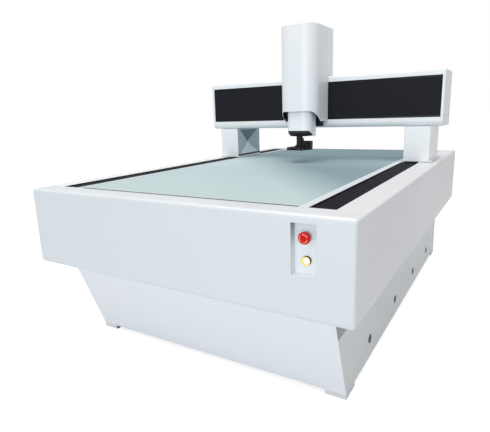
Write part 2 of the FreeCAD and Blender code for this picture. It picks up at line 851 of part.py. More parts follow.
def creased_panel(name, x, end, depth):
    """The shallow pyramid that a cross-broken panel makes, pointing into the leg from its side."""
    pyramid = doc.addObject("Part::Wedge", name)
    run = "(leg_depth - 2 * crease_border)"
    rise = "(leg_height - foot_gap - foot_plate - 2 * crease_margin)"
    pyramid.Xmin, pyramid.Ymin, pyramid.Zmin = 0, 0, 0
    for side, formula in (
        ("Xmax", run), ("Ymax", depth), ("Zmax", rise),
        ("X2min", f"{run} / 2"), ("X2max", f"{run} / 2"),
        ("Z2min", f"{rise} / 2"), ("Z2max", f"{rise} / 2"),
    ):
        pyramid.setExpression(side, bound(formula))
    # From the low end of X the pyramid points to +X, and from the high end to -X.
    pyramid.Placement.Rotation = FreeCAD.Rotation(FreeCAD.Vector(0, 0, 1), 90 if end else -90)
    y = "leg_front + crease_border" if end else "leg_back - crease_border"
    for axis, formula in (("x", x), ("y", y), ("z", "leg_floor + crease_margin")):
        pyramid.setExpression(f"Placement.Base.{axis}", bound(formula))
    return pyramid


def bend(body, size, y, z):
    """Rounds the edges of a sheet section that run along X at a point of the section."""
    return dress(body, "Fillet", size, lambda edge: along(edge, "x") and at(edge, y=y, z=z))


def beam():
    ends = ("-beam_end", "beam_end")
    core = prism("beam_core", "YZ_Plane",
                 rectangle(("core_front", "core_back"),
                           ("beam_bottom + beam_sheet", "beam_top - beam_sheet")), *ends)
    dress(core, "Chamfer", "3", lambda edge: along(edge, "x"))
    keep(core)

    # Front cover: top, front and bottom in one bent sheet, with the long window.
    wall = "beam_sheet"
    tail = f"beam_back - {wall}"
    outline = [
        (tail, "beam_bottom"), (tail, f"beam_bottom + {wall}"),
        (f"bridge_front + {wall}", f"beam_bottom + {wall}"),
        (f"bridge_front + {wall}", f"beam_top - {wall}"),
        (tail, f"beam_top - {wall}"), (tail, "beam_top"),
        ("bridge_front", "beam_top"), ("bridge_front", "beam_bottom"),
    ]
    wrap = prism("beam_wrap", "YZ_Plane", outline, *ends)
    skin, sheet = value("bridge_front"), value("beam_sheet")
    low, high = value("beam_bottom"), value("beam_top")
    bend(wrap, "beam_bend", skin, low)
    bend(wrap, "beam_bend - beam_sheet", skin + sheet, low + sheet)
    bend(wrap, "beam_top_bend", skin, high)
    bend(wrap, "beam_top_bend - beam_sheet", skin + sheet, high - sheet)
    window = box("beam_window", ("-window_edge", "window_edge"), ("bridge_front - 1", "bridge_front + 4"),
                 ("window_bottom", "window_top"))
    keep(cut("beam_front_cover", wrap, window))

    keep(box("beam_rear_cover", ends, (tail, "beam_back"), ("beam_bottom", "beam_top")))

    for word, side in SIDES.items():
        cap = prism(f"beam_cap_{word}", "YZ_Plane",
                    rectangle(("bridge_front", "beam_back"), ("beam_bottom", "beam_top")),
                    *sided(side, "beam_end", "beam_half"))
        bend(cap, "beam_bend", skin, low)
        bend(cap, "beam_top_bend", skin, high)
        outer = side * value("beam_half")
        dress(cap, "Chamfer", "1.5", lambda edge: at(edge, x=outer))
        keep(cap)

    reach = "window_edge + beam_band_overlap"
    keep(box("beam_band", (f"-({reach})", reach), ("beam_skin", "beam_skin + beam_band_thickness"),
             ("window_bottom + beam_slot", "window_top - beam_slot")))

    outline = rail_outline("rail_width", "rail_height")
    rails = [
        prism(f"x_rail_{word}", "YZ_Plane",
              on_wall(outline, "core_front", f"window_middle + {side} * x_rail_spread / 2"),
              "-beam_end + 10", "beam_end - 10")
        for word, side in (("low", -1), ("high", 1))
    ]
    keep(group("x_rails", *rails))
    keep(box("x_motor_track", ("-beam_end + 10", "beam_end - 10"),
             ("core_front - magnet_thickness", "core_front"),
             ("window_middle - magnet_width / 2", "window_middle + magnet_width / 2")))


# Measuring head: it rides on the beam and carries the ram


def d_shape(name, half, front_y, back_y, corner, low, high):
    """An upright D: flat front, round front corners and flat sides."""
    body = prism(name, "XY_Plane",
                 rectangle((f"head_x - ({half})", f"head_x + ({half})"), (front_y, back_y)), low, high)
    doc.recompute()
    face = body.Shape.BoundBox.YMin
    dress(body, "Fillet", corner, lambda edge: along(edge, "z") and at(edge, y=face))
    return body


def slant_space(name, half, front_y, flat, end_y, low, rise, bend_radius):
    """The space under a lower edge that climbs to the front in a slant and levels out in a bend."""
    outline = [
        (f"{front_y} - 5", f"{low} - 5"), (end_y, f"{low} - 5"), (end_y, low),
        (f"{front_y} + {flat}", f"{low} + {rise}"), (f"{front_y} - 5", f"{low} + {rise}"),
    ]
    body = prism(name, "YZ_Plane", outline, f"head_x - {half} - 5", f"head_x + {half} + 5")
    doc.recompute()
    bend_y = value(front_y) + value(flat)
    dress(body, "Fillet", bend_radius, lambda edge: along(edge, "x") and at(edge, y=bend_y))
    return body


def measuring_head():
    middle = ("head_x - saddle_width / 2", "head_x + saddle_width / 2")
    # Letter-box saddle: the cover band of the beam runs through it.
    ring = box("saddle_ring", middle, ("saddle_face - saddle_front", "saddle_rear + saddle_back"),
               ("saddle_low", "saddle_high"))
    slot = box("saddle_slot", ("head_x - saddle_width", "head_x + saddle_width"),
               ("saddle_face", "saddle_rear"), ("saddle_low + saddle_fin", "saddle_high - saddle_fin"))
    neck = box("saddle_neck", ("head_x - saddle_width * 0.39", "head_x + saddle_width * 0.39"),
               ("head_plate_back", "saddle_face - saddle_front"),
               ("saddle_low + saddle_fin", "saddle_high - saddle_fin"))
    keep(fused("x_saddle", cut("saddle_frame", ring, slot), neck))
    keep(box("x_motor_coil", ("head_x - saddle_width * 0.45", "head_x + saddle_width * 0.45"),
             ("saddle_rear + saddle_back", "core_front - magnet_thickness - air_gap"),
             ("window_middle - magnet_width / 2", "window_middle + magnet_width / 2")))

    outline = block_outline("block_width", "rail_width", "rail_height", "guide_height")
    blocks = []
    for word, side in (("low", -1), ("high", 1)):
        corners = on_wall(outline, "core_front", f"window_middle + {side} * x_rail_spread / 2")
        for end, start in (("left", middle[0]), ("right", f"{middle[1]} - block_length")):
            blocks.append(prism(f"x_block_{word}_{end}", "YZ_Plane", corners, start,
                                f"{start} + block_length"))
    keep(group("x_carriages", *blocks))

    # Head plate with the lower bearing of the screw.
    plate = box("head_plate_blank", middle, ("head_plate_front", "head_plate_back"),
                ("head_bottom", "head_plate_end"))
    bearing = box("screw_bearing", ("head_x - 22", "head_x + 22"),
                  ("screw_y - 13", "head_plate_front"), ("head_bottom + 3", "head_bottom + 18"))
    bore = rod("bearing_bore", "head_x", "screw_y", "head_bottom", "+Z", "journal_radius + screw_play", "30")
    # Its foot looks out under the covers, and two cross arms carry them by their sides.
    foot = box("plate_foot", ("head_x - head_half + head_foot_side", "head_x + head_half - head_foot_side"),
               ("head_plate_front", "head_plate_back"), ("head_bottom - head_foot_drop", "head_bottom"))
    reach = ("head_x - head_half + head_sheet", "head_x + head_half - head_sheet")
    arms = [
        box(f"cover_arm_{word}", reach, ("head_plate_front + 4", "head_plate_back"), (low, f"{low} + 20"))
        for word, low in (("low", "head_bottom + 28"), ("high", "head_plate_end - 40"))
    ]
    keep(cut("head_plate", fused("head_plate_casting", plate, foot, bearing, *arms), bore))

    outline = rail_outline("rail_width", "rail_height")
    rails = [
        prism(f"z_rail_{word}", "XY_Plane",
              on_plate(outline, f"head_x + {side} * z_rail_spread / 2", "head_plate_front"),
              "head_bottom + 3", "head_plate_end - 7")
        for word, side in SIDES.items()
    ]
    keep(group("z_rails", *rails))

    half = "motor_side / 2"
    flange = box("motor_flange_plate", ("head_x - motor_side / 2 - 5", "head_x + motor_side / 2 + 5"),
                 (f"screw_y - {half} + 4", "head_plate_back"),
                 ("head_plate_end", "head_plate_end + motor_flange"))
    motor = prism("motor_body", "XY_Plane",
                  rectangle((f"head_x - {half}", f"head_x + {half}"),
                            (f"screw_y - {half} + 4", f"screw_y + {half} + 4")),
                  "head_plate_end + motor_flange", "head_plate_end + motor_flange + motor_height")
    dress(motor, "Chamfer", "5", lambda edge: along(edge, "z"))
    seat = rod("motor_bore", "head_x", "screw_y", "head_plate_end - 1", "+Z",
               "journal_radius + screw_play", "motor_flange + 21")
    keep(cut("z_motor", fused("motor_and_flange", flange, motor), seat))

    # Covers: a D-shaped front whose lower edge climbs to the front, and the box behind it.
    wall = "head_sheet"
    outside = d_shape("head_outside", "head_half", "head_front", "head_seam - seam", "head_corner",
                      "head_bottom", "head_top")
    top = value("head_top")
    back = value("head_seam") - value("seam")
    dress(outside, "Fillet", "head_edge", lambda edge: at(edge, z=top) and not at(edge, y=back))
    inside = d_shape("head_inside", f"head_half - {wall}", f"head_front + {wall}", "head_seam + 5",
                     f"head_corner - {wall}", "head_bottom - 5", f"head_top - {wall} - 1")
    opening = slant_space("head_arch_space", "head_half", "head_front", "head_arch_flat",
                          "head_seam - head_arch_land", "head_bottom", "head_arch", "head_arch_bend")
    keep(cut("head_front_cover", outside, inside, opening))

    outline = [
        ("head_seam", "head_bottom"), ("head_back", "head_bottom"), ("head_back", "head_step"),
        ("head_tail", "head_step"), ("head_tail", "head_top"), ("head_seam", "head_top"),
    ]
    shell = prism("head_box", "YZ_Plane", outline, "head_x - head_half", "head_x + head_half")
    tail = value("head_tail")
    dress(shell, "Fillet", "head_edge + 3", lambda edge: along(edge, "z") and at(edge, y=tail))
    front = value("head_seam")
    dress(shell, "Fillet", "head_edge", lambda edge: at(edge, z=top) and not at(edge, y=front))
    x = (f"head_x - head_half + {wall}", f"head_x + head_half - {wall}")
    low_room = box("head_low_room", x, ("head_seam - 5", "head_back + 1"),
                   ("head_bottom - 5", f"head_step + {wall} + 1"))
    high_room = prism("head_high_room", "XY_Plane", rectangle(x, ("head_seam - 5", f"head_tail - {wall}")),
                      f"head_step + {wall}", f"head_top - {wall} - 1")
    inner_tail = tail - value("head_sheet")
    dress(high_room, "Fillet", "head_edge + 3 - head_sheet",
          lambda edge: along(edge, "z") and at(edge, y=inner_tail))
    keep(cut("head_rear_cover", shell, low_room, high_room))


def ball_screw():
    low = "head_bottom + 3"
    thread_low = "head_bottom + 22"
    thread_high = "head_plate_end - 32"
    coupling, shaft_end = "11", "head_plate_end + motor_flange + 18"
    outline = [
        ("0", low), ("journal_radius", low), ("journal_radius", thread_low),
        ("screw_radius", thread_low), ("screw_radius", thread_high),
        (coupling, thread_high), (coupling, "head_plate_end - 3"),
        ("journal_radius", "head_plate_end - 3"), ("journal_radius", shaft_end), ("0", shaft_end),
    ]
    keep(turned("z_screw", outline, x="head_x", y="screw_y"))


# Ram: the moving part of the head with camera, lens and lamps


def ram():
    outline = block_outline("block_width", "rail_width", "rail_height", "guide_height")
    blocks = [
        prism(f"z_block_{word}_{level}", "XY_Plane",
              on_plate(outline, f"head_x + {side} * z_rail_spread / 2", "head_plate_front"),
              start, f"{start} + block_length")
        for word, side in SIDES.items()
        for level, start in (("low", "z_block_low"), ("high", "z_block_high"))
    ]
    keep(group("z_carriages", *blocks))

    wall = "head_sheet"
    keep(box("ram_plate", (f"head_x - ram_half + {wall}", f"head_x + ram_half - {wall}"),
             ("ram_plate_front", "ram_back"), ("ram_floor_top", "ram_top")))

    nut_low = "(z_block_low + block_length + z_block_high) / 2 - 16"
    nut_body = box("nut_body", ("head_x - 16", "head_x + 16"), ("ram_back", "screw_y + 12"),
                   (nut_low, f"{nut_low} + 32"))
    nut_bore = rod("nut_bore", "head_x", "screw_y", f"{nut_low} - 1", "+Z", "screw_radius + screw_play", "34")
    keep(cut("z_nut", nut_body, nut_bore))

    outside = d_shape("ram_outside", "ram_half", "ram_front", "ram_back", "ram_corner", "ram_bottom",
                      "ram_top")
    inside = d_shape("ram_inside", f"ram_half - {wall}", f"ram_front + {wall}", "ram_back + 5",
                     f"ram_corner - {wall}", "ram_bottom - 5", "ram_top + 5")
    opening = slant_space("ram_arch_space", "ram_half", "ram_front", "ram_arch_flat",
                          "ram_back - ram_arch_land", "ram_bottom", "ram_arch", "ram_arch_bend")
    keep(cut("ram_cover", outside, inside, opening))

    floor = d_shape("ram_floor_blank", f"ram_half - {wall} - glass_play", f"ram_front + {wall} + glass_play",
                    "ram_back", f"ram_corner - {wall} - glass_play", "ram_floor_bottom", "ram_floor_top")
    underside, back = value("ram_floor_bottom"), value("ram_back")
    dress(floor, "Chamfer", "ram_floor_bevel",
          lambda edge: at(edge, z=underside) and not at(edge, y=back))
    hole = rod("ram_floor_hole", "head_x", "axis_y", "ram_floor_bottom - 1", "+Z", "lens_radius + 1",
               "ram_floor + 2")
    keep(cut("ram_floor", floor, hole))


def optics():
    neck, clamp = "lens_radius", "lens_clamp_radius"
    low, high = "lens_bottom", "lens_top"
    start = "ram_floor_top + 88"
    outline = [
        ("0", low), (neck, low), (neck, start), (clamp, start), (clamp, f"{start} + 46"),
        (neck, f"{start} + 46"), (neck, high), ("0", high),
    ]
    keep(turned("lens_barrel", outline, x="head_x", y="axis_y"))

    arm = box("mount_arm", (f"head_x - {clamp} - 8", f"head_x + {clamp} + 8"),
              (f"axis_y - {clamp} - 8", "ram_plate_front"), (f"{start} + 8", f"{start} + 38"))
    bore = rod("mount_bore", "head_x", "axis_y", f"{start} + 7", "+Z", f"{clamp} + screw_play", "32")
    slit = box("mount_slit", ("head_x - 1", "head_x + 1"), (f"axis_y - {clamp} - 9", "axis_y"),
               (f"{start} + 7", f"{start} + 39"))
    keep(cut("lens_mount", arm, bore, slit))

    half = "camera_side / 2"
    camera = prism("camera", "XY_Plane",
                   rectangle((f"head_x - {half}", f"head_x + {half}"),
                             (f"axis_y - {half}", f"axis_y + {half}")), high, f"{high} + camera_height")
    dress(camera, "Chamfer", "2", lambda edge: True)
    keep(camera)

    # Lamp ring: a drum clamped on the barrel, with a step that has a slot for the side lamp. Its skirt
    # shields the lamp board.
    rim, hub, bore = "light_radius", "lens_radius + screw_play", "light_bore"
    base, top = "light_bottom", "light_top"
    rim_top, skirt_low = f"{base} + light_rim", f"{base} - light_skirt"
    outline = [
        (hub, base), (bore, base), (bore, skirt_low), (rim, skirt_low), (rim, rim_top),
        ("light_step", rim_top), ("light_step", top), (hub, top),
    ]
    ring = turned("ring_light_turned", outline, x="head_x", y="axis_y")
    half = "coax_depth / 2"
    slot = box("ring_light_slot", ("head_x", "head_x + light_radius"),
               (f"axis_y - {half} - 0.5", f"axis_y + {half} + 0.5"), (rim_top, f"{top} + 1"))
    keep(cut("ring_light_housing", ring, slot))
    board = rectangle((f"{hub} + 8", f"{bore} - glass_play"), (f"{base} - 2", base))
    keep(turned("ring_light_board", board, x="head_x", y="axis_y"))

    # Side lamp that shines through the lens: a mirror block on the barrel, a finned cooler and a foot.
    low, high = f"{rim_top} + 0.5", f"{rim_top} + 0.5 + coax_height"
    near = f"head_x + {hub}"
    block_end = "head_x + coax_length * 0.62"
    block = box("coax_block", (near, block_end), (f"axis_y - {half}", f"axis_y + {half}"), (low, high))
    foot = box("coax_foot", (near, f"{near} + 6"), ("axis_y - 8", "axis_y + 8"), (high, f"{high} + 16"))
    core = box("coax_core", (block_end, "head_x + coax_length - 1"),
               (f"axis_y - {half} + 4", f"axis_y + {half} - 4"), (f"{low} + 4", f"{high} - 4"))
    deep = (f"axis_y - {half}", f"axis_y + {half}")
    fins = []
    for i in range(4):
        edge = f"head_x + coax_length - {2 * i} * coax_fin"
        fins.append(box(f"coax_fin_{i}", (f"{edge} - coax_fin", edge), deep, (low, high)))
    keep(fused("coaxial_light", block, foot, core, *fins))


# Controls: a recess in the front cover with an emergency stop and a lit push-button


def controls():
    wall = "pocket_sheet"
    half_w, half_h = "pocket_width / 2", "pocket_height / 2"
    outer = box("pocket_outer", (f"pocket_x - {half_w} - {wall}", f"pocket_x + {half_w} + {wall}"),
                ("front + housing_sheet", f"pocket_floor + {wall}"),
                (f"pocket_z - {half_h} - {wall}", f"pocket_z + {half_h} + {wall}"))
    inner = box("pocket_inner", (f"pocket_x - {half_w}", f"pocket_x + {half_w}"),
                ("front", "pocket_floor"), (f"pocket_z - {half_h}", f"pocket_z + {half_h}"))
    holes = [
        rod(f"{word}_hole", "pocket_x", "pocket_floor - 1", z, "+Y", "button_hole", f"{wall} + 2")
        for word, z in (("estop", "estop_z"), ("lamp", "lamp_z"))
    ]
    keep(cut("control_pocket", outer, inner, *holes))

    # Emergency stop, turned about its own axis: heights count from the floor of the recess.
    stem = "5.5"
    face = "pocket_depth"
    barrel = "button_hole - 0.1"
    outline = [
        (f"{stem} + button_play", "-22"), (barrel, "-22"), (barrel, "0"), ("15", "0"),
        ("15", "9"), (f"{stem} + button_play", "9"),
    ]
    collar = turned("estop_ring", outline, x="pocket_x", y="pocket_floor", z="estop_z", axis="-Y")
    block = box("estop_contacts", ("pocket_x - 15", "pocket_x + 15"),
                ("pocket_floor + 22", "pocket_floor + 48"), ("estop_z - 15", "estop_z + 15"))
    keep(fused("estop_collar", collar, block))
    outline = [("0", "-14"), (stem, "-14"), (stem, f"{face} - 9"), ("0", f"{face} - 9")]
    keep(turned("estop_stem", outline, x="pocket_x", y="pocket_floor", z="estop_z", axis="-Y"))
    radius, underside = "estop_radius", f"{face} - estop_height"
    outline = [
        (f"{stem} + button_play", underside), (radius, underside), (radius, face), ("0", face),
        ("0", f"{face} - 9"), (f"{stem} + button_play", f"{face} - 9"),
    ]
    keep(turned("estop_head", outline, x="pocket_x", y="pocket_floor", z="estop_z", axis="-Y"))

    # Lit button: its lens stands proud of the black ring.
    core, ring = "5", "lamp_ring"
    outline = [
        (f"{core} + button_play", "-30"), (barrel, "-30"), (barrel, "0"), (ring, "0"), (ring, "5"),
        (f"{core} + button_play", "5"),
    ]
    keep(turned("lamp_bezel", outline, x="pocket_x", y="pocket_floor", z="lamp_z", axis="-Y"))
    lens = "lamp_radius"
    outline = [
        ("0", "-12"), (core, "-12"), (core, "8.5"), (lens, "8.5"), (lens, "15"), ("0", "15"),
    ]
    keep(turned("lamp_button", outline, x="pocket_x", y="pocket_floor", z="lamp_z", axis="-Y"))


lower_base()
mains_inlet()
housing()
slab_and_stage()
bridge_legs()
beam()
measuring_head()
ball_screw()
ram()
optics()
controls()
doc.recompute()

# Nothing is written unless every object and every finished piece is sound.
failed = [item.Name for item in doc.Objects if {"Invalid", "Error"} & set(item.State)]
failed += [piece.Label for piece in NODES if piece.Shape.isNull() or not piece.Shape.isValid()]
failed += [piece.Label for piece in NODES if not piece.Shape.Solids]
if failed:
    raise RuntimeError("not sound: " + ", ".join(failed))

os.makedirs("parts", exist_ok=True)
for piece in NODES:
    piece.Shape.exportStep(f"parts/{piece.Label}.step")
    box_of = piece.Shape.BoundBox
    print(f"{piece.Label}: {len(piece.Shape.Solids)} solid(s), {piece.Shape.Volume / 1000:.1f} cm3,",
          f"x {box_of.XMin:.1f}..{box_of.XMax:.1f} y {box_of.YMin:.1f}..{box_of.YMax:.1f}",
          f"z {box_of.ZMin:.1f}..{box_of.ZMax:.1f}")
print(len(NODES), "pieces")
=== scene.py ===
# %% [markdown]
# # Dressing a vision measuring machine
# The machine is a wide white housing with a glass stage on top. A bridge rides along the stage, a
# measuring head rides along the bridge, and a ram with camera, lens and lamps rides in the head.
# The construction comes from CAD and stays as it is. This lesson gives every surface its finish and
# adds the fine pieces that a CAD model leaves plain: the stop, the lit button, the optics, the screws,
# the plugs and the seals.

import math

import bpy
import numpy as np
from mathutils import Matrix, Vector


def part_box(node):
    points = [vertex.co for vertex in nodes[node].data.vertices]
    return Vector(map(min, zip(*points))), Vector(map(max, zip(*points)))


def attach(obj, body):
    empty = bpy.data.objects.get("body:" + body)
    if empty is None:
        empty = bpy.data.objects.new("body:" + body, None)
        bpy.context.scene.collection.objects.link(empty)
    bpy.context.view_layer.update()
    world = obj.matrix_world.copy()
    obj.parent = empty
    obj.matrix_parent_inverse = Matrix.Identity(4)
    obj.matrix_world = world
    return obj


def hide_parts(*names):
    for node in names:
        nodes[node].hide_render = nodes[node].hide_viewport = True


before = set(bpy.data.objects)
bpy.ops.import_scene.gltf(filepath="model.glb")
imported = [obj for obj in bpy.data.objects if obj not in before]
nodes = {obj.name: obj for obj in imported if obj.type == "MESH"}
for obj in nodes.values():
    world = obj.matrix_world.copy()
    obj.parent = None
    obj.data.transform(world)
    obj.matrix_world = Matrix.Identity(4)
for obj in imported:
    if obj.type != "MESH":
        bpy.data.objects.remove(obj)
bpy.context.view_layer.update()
print("CAD nodes:", len(nodes))

# %% [markdown]
# ## The view
# The photograph shows the machine from the front right, from just above table height. Its camera was
# worked out from the edges of the housing, which run along the three axes: where they meet on the
# horizon gives the direction and the focal length, and the size of the table gives the distance.
# A camera in Blender looks along its own -Z, so its axes are the columns of a rotation matrix.

# %% The photograph's camera
CAMERA_PLACE = (1.0655, -2.2616, 1.0245)
CAMERA_YAW = math.radians(31.49)
CAMERA_PITCH = math.radians(-13.03)
CAMERA_ROLL = math.radians(-1.85)
FOCAL_PIXELS = 438.9
PHOTO_WIDTH = 490
SENSOR_WIDTH = 36.0


def camera_axes(yaw, pitch, roll):
    """Right, up and back of a camera: it turns left by yaw, tilts by pitch and rolls about its view."""
    ahead = np.array([
        -math.sin(yaw) * math.cos(pitch),
        math.cos(yaw) * math.cos(pitch),
        math.sin(pitch),
    ])
    right = np.cross(ahead, (0.0, 0.0, 1.0))
    right /= np.linalg.norm(right)
    up = np.cross(right, ahead)
    turned_right = math.cos(roll) * right + math.sin(roll) * up
    turned_up = -math.sin(roll) * right + math.cos(roll) * up
    return turned_right, turned_up, -ahead


camera_data = bpy.data.cameras.new("photo_camera")
camera_data.sensor_width = SENSOR_WIDTH
camera_data.lens = FOCAL_PIXELS * SENSOR_WIDTH / PHOTO_WIDTH
camera_data.clip_end = 60.0
camera = bpy.data.objects.new("photo_camera", camera_data)
bpy.context.scene.collection.objects.link(camera)
placing = np.eye(4)
placing[:3, :3] = np.array(camera_axes(CAMERA_YAW, CAMERA_PITCH, CAMERA_ROLL)).T
placing[:3, 3] = CAMERA_PLACE
camera.matrix_world = Matrix(placing.tolist())
bpy.context.scene.camera = camera
print(f"lens {camera_data.lens:.2f} mm")

# %% [markdown]
# ## Short ways to write nodes
# A finish is a tree of nodes. Most of these helpers place one node and hand back what it gives, so a
# finish further down reads almost like a sum. Where a helper takes a source, this is a number, a
# colour or what another node gives.

# %% Node helpers


def feed(tree, source, socket):
    """Sets a socket to a number, or links it where the source is itself a socket."""
    if isinstance(source, bpy.types.NodeSocket):
        tree.links.new(source, socket)
    else:
        socket.default_value = source


def calc(tree, operation, first, second, limit=False):
    """One math node: two numbers or sockets and an operation."""
    node = tree.nodes.new("ShaderNodeMath")
    node.operation = operation
    node.use_clamp = limit
    feed(tree, first, node.inputs[0])
    feed(tree, second, node.inputs[1])
    return node.outputs[0]


def vector_calc(tree, operation, first, second):
    """One vector math node. A dot product and a distance give a number, the others a vector."""
    node = tree.nodes.new("ShaderNodeVectorMath")
    node.operation = operation
    feed(tree, first, node.inputs[0])
    feed(tree, second, node.inputs[1])
    return node.outputs["Value" if operation in ("DOT_PRODUCT", "DISTANCE") else "Vector"]


def ramp(tree, value, low, high, start=0.0, end=1.0):
    """A value moved in a straight line from the limits low..high to start..end, and held there."""
    node = tree.nodes.new("ShaderNodeMapRange")
    node.clamp = True
    for label, number in (("From Min", low), ("From Max", high), ("To Min", start), ("To Max", end)):
        feed(tree, number, node.inputs[label])
    tree.links.new(value, node.inputs["Value"])
    return node.outputs["Result"]


def mixed(tree, factor, first, second):
    """Two colours mixed by a factor. Sockets 6 and 7 of the node are its two colours."""
    node = tree.nodes.new("ShaderNodeMix")
    node.data_type = "RGBA"
    feed(tree, factor, node.inputs["Factor"])
    feed(tree, first, node.inputs[6])
    feed(tree, second, node.inputs[7])
    return node.outputs[2]


def place_in(tree):
    """The place on the piece in metres, which are its Object coordinates."""
    return tree.nodes.new("ShaderNodeTexCoord").outputs["Object"]


def facing_in(tree):
    """The direction in which the surface looks."""
    return tree.nodes.new("ShaderNodeNewGeometry").outputs["Normal"]


def parts_of(tree, vector):
    """The X, Y and Z of a vector."""
    node = tree.nodes.new("ShaderNodeSeparateXYZ")
    tree.links.new(vector, node.inputs[0])
    return node.outputs["X"], node.outputs["Y"], node.outputs["Z"]


def bumped(tree, height, strength, distance):
    """The surface's direction, leaned as the slopes of a height say."""
    node = tree.nodes.new("ShaderNodeBump")
    for label, source in (("Height", height), ("Strength", strength), ("Distance", distance)):
        feed(tree, source, node.inputs[label])
    return node.outputs["Normal"]


def new_finish(name):
    """A new material with its node tree and its Principled shader."""
    material = bpy.data.materials.new(name)
    material.use_nodes = True
    return material, material.node_tree, material.node_tree.nodes["Principled BSDF"]

# %% [markdown]
# ## Studio
# The machine stands in a plain pale studio. Two large soft panels light it from the front and from
# above, and a weak third one stands on the right, so the right side is a step darker; the coats add
# painted shade on the sides as well. The world gives the rest of the light and a white background. The
# floor is white too, and keeps the soft shadow.

# %% Light panels, world and floor
scene = bpy.context.scene
scene.view_settings.view_transform = "Standard"


def light_panel(name, place, target, width, height, power, colour):
    """A soft rectangular lamp at a place, turned so that it shines at a target."""
    data = bpy.data.lights.new(name, "AREA")
    data.shape = "RECTANGLE"
    data.size = width
    data.size_y = height
    data.energy = power
    data.color = colour
    lamp = bpy.data.objects.new(name, data)
    scene.collection.objects.link(lamp)
    ahead = np.subtract(target, place)
    ahead = ahead / np.linalg.norm(ahead)
    right = np.cross(ahead, (0.0, 0.0, 1.0))
    right /= np.linalg.norm(right)
    turn = np.eye(4)
    turn[:3, :3] = np.array([right, np.cross(right, ahead), -ahead]).T
    turn[:3, 3] = place
    lamp.matrix_world = Matrix(turn.tolist())


WARM_WHITE = (1.0, 0.99, 0.975)
COOL_WHITE = (0.94, 0.972, 1.0)
light_panel("front_panel", (1.5, -6.2, 1.6), (0.1, 0.0, 0.5), 5.0, 3.0, 150, COOL_WHITE)
light_panel("top_panel", (-0.5, -1.2, 5.2), (0.0, -0.3, 0.7), 4.5, 5.0, 118, WARM_WHITE)
light_panel("side_panel", (5.0, -3.2, 2.6), (0.2, -0.2, 0.6), 3.0, 3.0, 14, WARM_WHITE)

WORLD_LIGHT = 0.50
WORLD_TINT = (1.0, 0.996, 0.992, 1.0)
WHITE = (1.0, 1.0, 1.0, 1.0)


def seen_rays(tree):
    """One where a ray comes from the camera, or from a mirror or glass: where the background shows."""
    path = tree.nodes.new("ShaderNodeLightPath").outputs
    seen = calc(tree, "MAXIMUM", path["Is Camera Ray"], path["Is Glossy Ray"])
    return calc(tree, "MAXIMUM", seen, path["Is Transmission Ray"])


def background(tree, colour, strength):
    """A background of one colour."""
    node = tree.nodes.new("ShaderNodeBackground")
    node.inputs["Color"].default_value = colour
    node.inputs["Strength"].default_value = strength
    return node.outputs[0]


world = bpy.data.worlds.new("studio_world")
world.use_nodes = True
scene.world = world
tree = world.node_tree
tree.nodes.clear()
world_mix = tree.nodes.new("ShaderNodeMixShader")
tree.links.new(seen_rays(tree), world_mix.inputs["Fac"])
tree.links.new(background(tree, WORLD_TINT, WORLD_LIGHT), world_mix.inputs[1])
tree.links.new(background(tree, WHITE, 1.0), world_mix.inputs[2])
tree.links.new(world_mix.outputs[0], tree.nodes.new("ShaderNodeOutputWorld").inputs["Surface"])


def mesh_piece(name, points, faces, smooth=True):
    """A mesh object from an array of points and a list of faces, placed by its own points."""
    data = bpy.data.meshes.new(name)
    data.from_pydata(np.asarray(points, float).reshape(-1, 3).tolist(), [], faces)
    data.validate()
    data.polygons.foreach_set("use_smooth", np.full(len(data.polygons), smooth))
    piece = bpy.data.objects.new(name, data)
    scene.collection.objects.link(piece)
    return piece


FLOOR_HALF = 14.0
FLOOR_GREY = (0.67, 0.67, 0.68, 1.0)
FLOOR_GLOW = 0.74
corners = np.array([(-1, -1, 0), (1, -1, 0), (1, 1, 0), (-1, 1, 0)], float) * FLOOR_HALF
floor = mesh_piece("studio_floor", corners, [(0, 1, 2, 3)], smooth=False)
floor_paint, tree, shader = new_finish("studio_floor")
shader.inputs["Base Color"].default_value = FLOOR_GREY
shader.inputs["Roughness"].default_value = 0.9
shader.inputs["Specular IOR Level"].default_value = 0.0
glow = tree.nodes.new("ShaderNodeEmission")
glow.inputs["Color"].default_value = WHITE
tree.links.new(calc(tree, "MULTIPLY", seen_rays(tree), FLOOR_GLOW), glow.inputs["Strength"])
both = tree.nodes.new("ShaderNodeAddShader")
tree.links.new(shader.outputs[0], both.inputs[0])
tree.links.new(glow.outputs[0], both.inputs[1])
tree.links.new(both.outputs[0], tree.nodes["Material Output"].inputs["Surface"])
floor.data.materials.append(floor_paint)

# %% [markdown]
# ## Finishes
# Seven effects come back in several finishes, so each is a node group that is built once. Drift lets a
# colour wander a little, as no painted or moulded surface is quite even. Peel is the fine dimpling of
# powder coat and moulded plastic. Wear finds the outside edges, where handling polishes a finish.
# Dust finds the faces that look up, where a film settles. The last three only tell how a face looks:
# into a cover, at the stage from a leg, or sideways and up. The groups read Object coordinates, which
# stay on the piece when it moves.

# %% Shared effects


def effect_group(name, inputs, outputs):
    """An empty node group with named sockets: inputs are (name, kind, value), outputs (name, kind)."""
    group = bpy.data.node_groups.new(name, "ShaderNodeTree")
    for label, kind, start in inputs:
        socket = group.interface.new_socket(label, in_out="INPUT", socket_type="NodeSocket" + kind)
        socket.default_value = start
    for label, kind in outputs:
        group.interface.new_socket(label, in_out="OUTPUT", socket_type="NodeSocket" + kind)
    return group, group.nodes.new("NodeGroupInput").outputs, group.nodes.new("NodeGroupOutput").inputs


def noise(tree, scale, detail=3.0):
    """A noise texture on Object coordinates; the scale is a number or a socket, in bumps per metre."""
    texture = tree.nodes.new("ShaderNodeTexNoise")
    texture.inputs["Detail"].default_value = detail
    texture.inputs["Roughness"].default_value = 0.55
    tree.links.new(place_in(tree), texture.inputs["Vector"])
    feed(tree, scale, texture.inputs["Scale"])
    return texture.outputs["Fac"]


